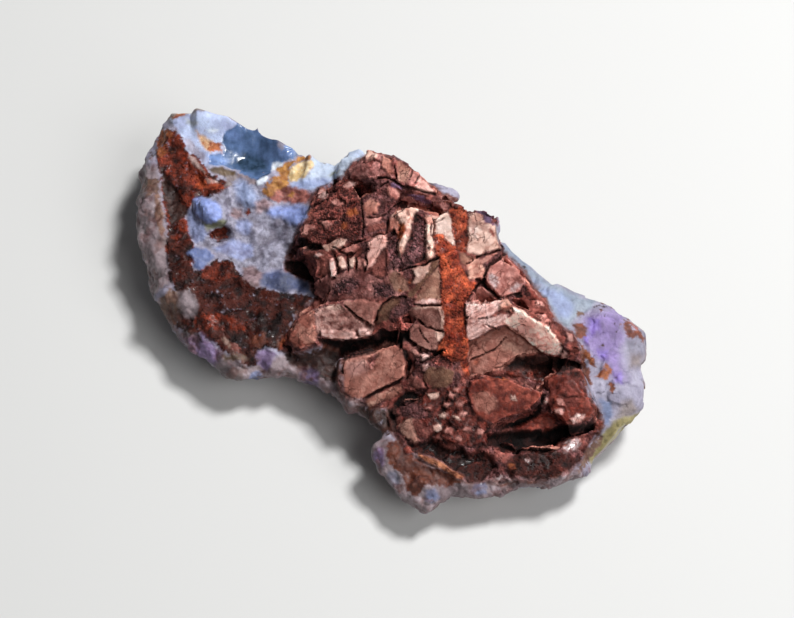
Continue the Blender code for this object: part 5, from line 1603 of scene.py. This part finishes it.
cell, cell_border = bent_cells(first, SMALL_CELLS)
cell_bright = np.random.default_rng(91).normal(1.0, CELL_SPREAD, cell.max() + 1)[cell]
big_border = bent_cells(first, BIG_CELLS)[1]
knob_border = bent_cells(first, KNOB_CELLS)[1]
rough_face = 1 - 0.6 * held
left_skin = 0.7 * blotches(1.0, 92, 0.08, 0.30) * crust * (1 - 0.35 * held)
chip_edge = 0.6 * (1 - eased(cell_border, 0.03, 0.12)) * blotches(1.2, 93, -0.1, 0.2) * crust
big_edge = 0.85 * (1 - eased(big_border, 0.03, 0.14)) * blotches(2.0, 95, -0.2, 0.1)
skin_share = np.maximum(np.maximum(left_skin, chip_edge), big_edge * crust * (1 - 0.75 * held))[:, None]
fleck = blotches(0.3, 96, 0.28, 0.42) * crust * rough_face
worn = eased(-bend, 0.5 * EDGE_BEND, 2.4 * EDGE_BEND)
hollow = eased(bend, 0.3 * EDGE_BEND, 2.5 * EDGE_BEND)
deep = eased(dip, 0.02, 0.15) * crust
proud_light = eased(-dip, 0.03, 0.14) * crust
low_down_shade = (1 - eased(first[:, 2], 0.6, 5.0)) * seen
between_knobs = 1 - eased(knob_border, -0.1, 0.25)
gap = between_knobs * (blotches(1.1, 68, -0.1, 0.3) * inside_patch(sheet, KNOBBY_OUTLINE, 0.6))
gap = gap * (1 - crust) * seen
crack = crack_shares(sheet + 0.06 * wander) * seen
print("dark skin on", (skin_share > 0.4).sum(), "points")

# %% [markdown]
# Each share then makes its tones darker, paler or redder.

# %% Tones shaded
SKIN_TINT = (0.42, 0.20, 0.17)
FLECK_MORE = 0.5
WORN_GAIN, WORN_DUST = 1.4, (0.03, 0.018, 0.016)
# painted light on the crust's proud parts
PROUD_LIGHT = 0.35
# painted shade on the opal low down, near the floor
LOW_SHADE = 0.45
# painted shade in wide dips, redder like the maroon skin in them
DIP_SHADE = (0.55, 0.72, 0.75)  # hollows are darker and redder
# painted shade between the knobs of the rim
KNOB_GAP_SHADE = (0.35, 0.55, 0.55)
CRUST_LESS = (0.0, 0.13, 0.15)  # ironstone is redder than its pale dust
CRACK_TONE, CRACK_MIX = (0.020, 0.005, 0.004), 0.92
CRACK_DULL = 0.8

tones = paint[:, :3]
tones *= (1 + (cell_bright - 1) * crust * rough_face)[:, None]
tones *= (1 + FLECK_MORE * fleck)[:, None]
tones += (tones * np.array(SKIN_TINT) - tones) * skin_share
tones += (tones * WORN_GAIN + np.array(WORN_DUST) - tones) * (worn * (0.38 * crust + 0.12))[:, None]
# painted shade in narrow hollows
tones *= (1 - hollow * (0.45 * crust + 0.2))[:, None]
# painted shade in wide dips of the crust
tones *= 1 - deep[:, None] * np.array(DIP_SHADE)
tones *= (1 - LOW_SHADE * low_down_shade * (1 - crust))[:, None]
# painted shade between the knobs
tones *= 1 - gap[:, None] * np.array(KNOB_GAP_SHADE)
tones *= (1 + PROUD_LIGHT * proud_light)[:, None]
tones *= 1 - crust[:, None] * np.array(CRUST_LESS)
tones += (np.array(CRACK_TONE) - tones) * (CRACK_MIX * crack)[:, None]
paint[:, 4] *= 1 - CRACK_DULL * crack
paint = np.clip(paint, 0, 1)
tone = skin.attributes.new("tone", "FLOAT_COLOR", "POINT")
opaque = np.column_stack((paint[:, :3], np.ones(len(paint))))
tone.data.foreach_set("color", opaque.astype(np.float32).ravel())
keep(skin, "sand", paint[:, 3])
keep(skin, "gloss", paint[:, 4])
print("mean tone", paint[:, :3].mean(0).round(3))

# %% [markdown]
# ## Two materials
#
# Both read the painted tone, sandiness and gloss. Ironstone is matt and sandy, with grains that differ
# in brightness and a web of hair cracks. Opal lets light in a little. Where either is glossy it has a
# clear coat, so it shines like glass or like a wet stone.

# %% Helpers for materials
def adder(tree):
    """A helper that adds a node to this tree, with its settings and its inputs."""

    def add(kind, inputs=(), **settings):
        made = tree.nodes.new(kind)
        for setting, value in settings.items():
            setattr(made, setting, value)
        for socket, value in dict(inputs).items():
            if isinstance(value, bpy.types.NodeSocket):
                tree.links.new(value, made.inputs[socket])
            else:
                made.inputs[socket].default_value = value
        return made

    return add


def worked(add, operation, *values, **settings):
    """A number that one math node works out from these."""
    return add("ShaderNodeMath", dict(enumerate(values)), operation=operation, **settings).outputs[0]


def ranged(add, value, start=0.0, stop=1.0, low=0.0, high=1.0):
    """The value, with start to stop stretched to low to high."""
    ends = {"Value": value, "From Min": start, "From Max": stop, "To Min": low, "To Max": high}
    return add("ShaderNodeMapRange", ends).outputs["Result"]


def new_material(name):
    """A material with its node tree and its shader."""
    material = bpy.data.materials.new(name)
    material.use_nodes = True
    return material, material.node_tree, material.node_tree.nodes["Principled BSDF"]


print("the node helpers are ready")

# %% [markdown]
# The two stones share one recipe: first the tone with its grain, haze and hair cracks, then the
# roughness, the relief and the coat.

# %% Materials
GRAIN = 0.00022  # a sand grain, metres
STONE_NOISE = 0.0005
CRACK_CELL, CRACK_WANDER = 0.0009, 0.0009
CRACK_STRETCH = (1.0, 0.38, 0.8)
CRACK_WIDTH = 0.04
HAIR_TONE = (0.11, 0.026, 0.02, 1)
GLINT_STARTS, GLINT_ENDS, GLINT_SHINE = 0.90, 0.93, -0.55
FINE_RELIEF, WEB_RELIEF = 0.35, -1.2
COAT_MOST, COAT_ROUGHNESS = 0.65, 0.14


def stone_material(name, grain_share, grain_bump, bump_reach, rough_dull, rough_shiny,
                   crack_share, glaze_from):
    """A material that reads the painted tone, sandiness and gloss, with grain of its own."""
    material, tree, shader = new_material(name)
    add = adder(tree)
    place = add("ShaderNodeTexCoord").outputs["Object"]
    tone = add("ShaderNodeAttribute", attribute_name="tone").outputs["Color"]
    sand = add("ShaderNodeAttribute", attribute_name="sand").outputs["Fac"]
    gloss = add("ShaderNodeAttribute", attribute_name="gloss").outputs["Fac"]

    def noise(scale, detail, **more):
        inputs = {"Vector": place, "Scale": scale / STONE_NOISE, "Detail": detail, **more}
        return add("ShaderNodeTexNoise", inputs).outputs

    def moved(operation, inputs):
        return add("ShaderNodeVectorMath", inputs, operation=operation).outputs["Vector"]

    grains = add("ShaderNodeTexVoronoi", {"Vector": place, "Scale": 1 / GRAIN}).outputs
    grain_value = add("ShaderNodeSeparateColor", {"Color": grains["Color"]}).outputs["Red"]
    clouds = noise(1, 5.0, Roughness=0.65)
    cloud, wide = clouds["Fac"], noise(0.2, 3.0)["Fac"]
    pushed = moved("SCALE", {0: clouds["Color"], "Scale": CRACK_WANDER})
    pushed = moved("MULTIPLY", {0: moved("ADD", {0: place, 1: pushed}), 1: CRACK_STRETCH})
    web = add("ShaderNodeTexVoronoi", {"Vector": pushed, "Scale": 1 / CRACK_CELL},
              feature="DISTANCE_TO_EDGE").outputs["Distance"]
    web = ranged(add, web, 0.0, CRACK_WIDTH, 1.0, 0.0)
    web = worked(add, "MULTIPLY", web, ranged(add, wide, 0.47, 0.56))
    web = worked(add, "MULTIPLY", web, crack_share)
    fine = noise(4, 3.0, Roughness=0.7)["Fac"]
    speckle = ranged(add, grain_value, low=1 - grain_share, high=1 + grain_share)
    speckle = add("ShaderNodeMix", {"Factor": sand, "A": 1.0, "B": speckle}, data_type="FLOAT")
    mottle = ranged(add, cloud, 0.25, 0.75, 0.78, 1.22)
    bright = worked(add, "MULTIPLY", speckle.outputs["Result"], mottle)
    shaded = moved("SCALE", {0: tone, "Scale": bright})
    lined = add("ShaderNodeMix", {0: web, 6: shaded, 7: HAIR_TONE}, data_type="RGBA").outputs[2]
    tree.links.new(lined, shader.inputs["Base Color"])

    dull = ranged(add, gloss, low=rough_dull, high=rough_shiny)
    glint = worked(add, "MULTIPLY", ranged(add, grain_value, GLINT_STARTS, GLINT_ENDS), sand)
    roughness = worked(add, "MULTIPLY_ADD", glint, GLINT_SHINE, dull, use_clamp=True)
    tree.links.new(roughness, shader.inputs["Roughness"])
    relief = worked(add, "MULTIPLY", grains["Distance"], sand)
    relief = worked(add, "MULTIPLY_ADD", relief, grain_bump, cloud)
    relief = worked(add, "MULTIPLY_ADD", fine, FINE_RELIEF, relief)
    relief = worked(add, "MULTIPLY_ADD", web, WEB_RELIEF, relief)
    strength = ranged(add, worked(add, "SUBTRACT", 1.0, gloss, use_clamp=True), low=0.15)
    bump = add("ShaderNodeBump", {"Strength": strength, "Distance": bump_reach, "Height": relief})
    tree.links.new(bump.outputs["Normal"], shader.inputs["Normal"])
    tree.links.new(ranged(add, gloss, glaze_from, high=COAT_MOST), shader.inputs["Coat Weight"])
    shader.inputs["Coat Roughness"].default_value = COAT_ROUGHNESS
    return material, shader


ironstone, iron_shader = stone_material(
    "ironstone", grain_share=0.7, grain_bump=-0.9, bump_reach=0.00018, rough_dull=0.85,
    rough_shiny=0.35, crack_share=0.7, glaze_from=0.75)
iron_shader.inputs["Specular IOR Level"].default_value = 0.22

opal, opal_shader = stone_material(
    "milky opal", grain_share=0.6, grain_bump=-0.5, bump_reach=0.00012, rough_dull=0.6,
    rough_shiny=0.16, crack_share=0.0, glaze_from=0.45)
opal_shader.inputs["Subsurface Weight"].default_value = 0.25
opal_shader.inputs["Subsurface Radius"].default_value = (1.0, 0.85, 0.9)
opal_shader.inputs["Subsurface Scale"].default_value = 0.0004
opal_shader.inputs["Specular IOR Level"].default_value = 0.35
print("materials:", ironstone.name, "and", opal.name)

# %% [markdown]
# ## The two pieces
#
# The painted skin is parted along the contact into the crust and the opal. The sandy skin on the
# opal goes with the crust. They share their border points, so no gap opens between them.

# %% Crust and opal
SANDY_SKIN = 0.42


def part_of_skin(name, wanted, material):
    """A new object with the wanted triangles of the skin."""
    mesh = skin.copy()
    mesh.name = name
    trim = bmesh.new()
    trim.from_mesh(mesh)
    trim.faces.ensure_lookup_table()
    loose = [face for face, want in zip(trim.faces, wanted) if not want]
    bmesh.ops.delete(trim, geom=loose, context="FACES")
    trim.to_mesh(mesh)
    trim.free()
    mesh.shade_smooth()
    mesh.materials.clear()
    mesh.materials.append(material)
    piece = bpy.data.objects.new(name, mesh)
    bpy.context.scene.collection.objects.link(piece)
    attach(piece, "root")
    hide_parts("rough_opal")
    print(name, "has", len(mesh.polygons), "triangles")
    return piece


corners = np.empty(len(skin.polygons) * 3, np.int32)
skin.polygons.foreach_get("vertices", corners)
corners = corners.reshape(-1, 3)
is_sandy = paint[corners, 3].mean(axis=1) > SANDY_SKIN
is_crust = (crust[corners].mean(axis=1) > 0.5) | is_sandy
crust_piece = part_of_skin("ironstone_crust", is_crust, ironstone)
part_of_skin("milky_opal", ~is_crust, opal)

# %% [markdown]
# ## Loose grains
#
# Sand grains stand on the sandy skin and cast their own small shadows. Geometry Nodes scatters them:
# the sandier the skin, the more of them, and each takes the tone of the place where it sits.

# %% Sand grains
GRAIN_DENSITY = 9.0e6  # a square metre, on the sandiest skin
SMALLEST_GRAIN, LARGEST_GRAIN = 0.00005, 0.00013
SANDY_STARTS = 0.35
FULL_TURN = (6.3, 6.3, 6.3)
GRAIN_SEED = 17
FACES_OF_A_GRAIN = 20


def scattered_grains(surface, name, material, seed):
    """A plain mesh of small grains on a surface, spread by its stored sandiness."""
    group = bpy.data.node_groups.new(name, "GeometryNodeTree")
    add = adder(group)
    settings = {"Density": GRAIN_DENSITY, "Smallest": SMALLEST_GRAIN, "Largest": LARGEST_GRAIN, "Seed": seed}
    group.interface.new_socket("Geometry", in_out="INPUT", socket_type="NodeSocketGeometry")
    sockets = {}
    for label, value in settings.items():
        kind = "NodeSocketInt" if label == "Seed" else "NodeSocketFloat"
        sockets[label] = group.interface.new_socket(label, in_out="INPUT", socket_type=kind)
    group.interface.new_socket("Geometry", in_out="OUTPUT", socket_type="NodeSocketGeometry")

    given = add("NodeGroupInput").outputs
    sand = add("GeometryNodeInputNamedAttribute", {"Name": "sand"}, data_type="FLOAT").outputs["Attribute"]
    density = worked(add, "MULTIPLY", ranged(add, sand, SANDY_STARTS, 1.0), given["Density"])
    spread = add("GeometryNodeDistributePointsOnFaces",
                 {"Mesh": given["Geometry"], "Density": density, "Seed": given["Seed"]})
    grain = add("GeometryNodeMeshIcoSphere", {"Radius": 1.0, "Subdivisions": 1}).outputs["Mesh"]
    size = add("FunctionNodeRandomValue", {2: given["Smallest"], 3: given["Largest"], "Seed": given["Seed"]},
               data_type="FLOAT").outputs[1]
    turn = add("FunctionNodeRandomValue", {1: FULL_TURN, "Seed": given["Seed"]},
               data_type="FLOAT_VECTOR").outputs[0]
    placed = add("GeometryNodeInstanceOnPoints", {"Points": spread.outputs["Points"], "Instance": grain,
                                                  "Rotation": turn, "Scale": size}).outputs["Instances"]
    real = add("GeometryNodeRealizeInstances", {"Geometry": placed}).outputs["Geometry"]
    finished = add("GeometryNodeSetMaterial", {"Geometry": real, "Material": material}).outputs["Geometry"]
    add("NodeGroupOutput", {"Geometry": finished})

    scatter = surface.modifiers.new(name, "NODES")
    scatter.node_group = group
    for label, socket in sockets.items():
        scatter[socket.identifier] = settings[label]
    shown = surface.evaluated_get(bpy.context.evaluated_depsgraph_get())
    mesh = bpy.data.meshes.new_from_object(shown)
    surface.modifiers.remove(scatter)
    set_points(mesh, np.clip(points_of(mesh), low, high))
    piece = bpy.data.objects.new(name, mesh)
    bpy.context.scene.collection.objects.link(piece)
    return piece


grains = scattered_grains(crust_piece, "sand_grains", ironstone, GRAIN_SEED)
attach(grains, "root")
print("grains:", len(grains.data.polygons) // FACES_OF_A_GRAIN)

# %% [markdown]
# ## Floor, light and camera
#
# The stone lies on a plain pale floor. A small soft lamp stands high at the back right, where the
# photograph's light comes from, and a wider, weaker one at the right. The camera is the eye.

# %% The studio
KEY_TURN, KEY_TILT, KEY_REACH, KEY_SIZE, KEY_POWER = 152, 60, 0.40, 0.08, 1.75
FILL_TURN, FILL_TILT, FILL_REACH, FILL_SIZE, FILL_POWER = 80, 42, 0.45, 0.30, 1.1
SKY_TONE, SKY_STRENGTH = (0.95, 0.97, 1.0, 1), 0.09
FLOOR_SIZE, FLOOR_TONE, FLOOR_ROUGHNESS = 1.6, (0.62, 0.62, 0.61, 1), 0.85
LENS_MM, SENSOR_MM, CLIP_START = 100, 36, 0.01

bpy.ops.mesh.primitive_plane_add(size=FLOOR_SIZE)
floor = bpy.context.object
floor.name = "floor"
floor_material, _, floor_shader = new_material("pale floor")
floor_shader.inputs["Base Color"].default_value = FLOOR_TONE
floor_shader.inputs["Roughness"].default_value = FLOOR_ROUGHNESS
floor.data.materials.append(floor_material)


def direction(turn, tilt):
    """The direction from the stone towards this turn (0 is the front) and tilt, in degrees."""
    turn, tilt = math.radians(turn), math.radians(tilt)
    return Vector((math.sin(turn) * math.cos(tilt), -math.cos(turn) * math.cos(tilt), math.sin(tilt)))


def soft_lamp(name, turn, tilt, reach, size, power):
    """A square lamp that shines at the stone from this direction and distance."""
    lamp = bpy.data.lights.new(name, "AREA")
    lamp.energy, lamp.size = power, size
    holder = bpy.data.objects.new(name, lamp)
    holder.location = direction(turn, tilt) * reach
    holder.rotation_euler = (-holder.location).to_track_quat("-Z", "Y").to_euler()
    bpy.context.scene.collection.objects.link(holder)


soft_lamp("key", KEY_TURN, KEY_TILT, KEY_REACH, KEY_SIZE, KEY_POWER)
soft_lamp("fill", FILL_TURN, FILL_TILT, FILL_REACH, FILL_SIZE, FILL_POWER)

world = bpy.data.worlds.new("studio")
world.use_nodes = True
sky = world.node_tree.nodes["Background"]
sky.inputs["Color"].default_value = SKY_TONE
sky.inputs["Strength"].default_value = SKY_STRENGTH
bpy.context.scene.world = world

camera = bpy.data.objects.new("camera", bpy.data.cameras.new("camera"))
camera.data.lens, camera.data.sensor_width = LENS_MM, SENSOR_MM
camera.data.clip_start = CLIP_START
camera.location = Vector(SHEET_MIDDLE + TO_EYE * SIGHT_DISTANCE) * MM
camera.rotation_euler = Vector(-TO_EYE).to_track_quat("-Z", "Y").to_euler()
bpy.context.scene.collection.objects.link(camera)
bpy.context.scene.camera = camera
bpy.context.scene.view_settings.view_transform = "Standard"
print("camera at", tuple(round(value, 4) for value in camera.location))

# %% [markdown]
# ## Sizes
#
# Last, the box of the solid is noted.

# %% Sizes and finish
print("solid:", cad_box)
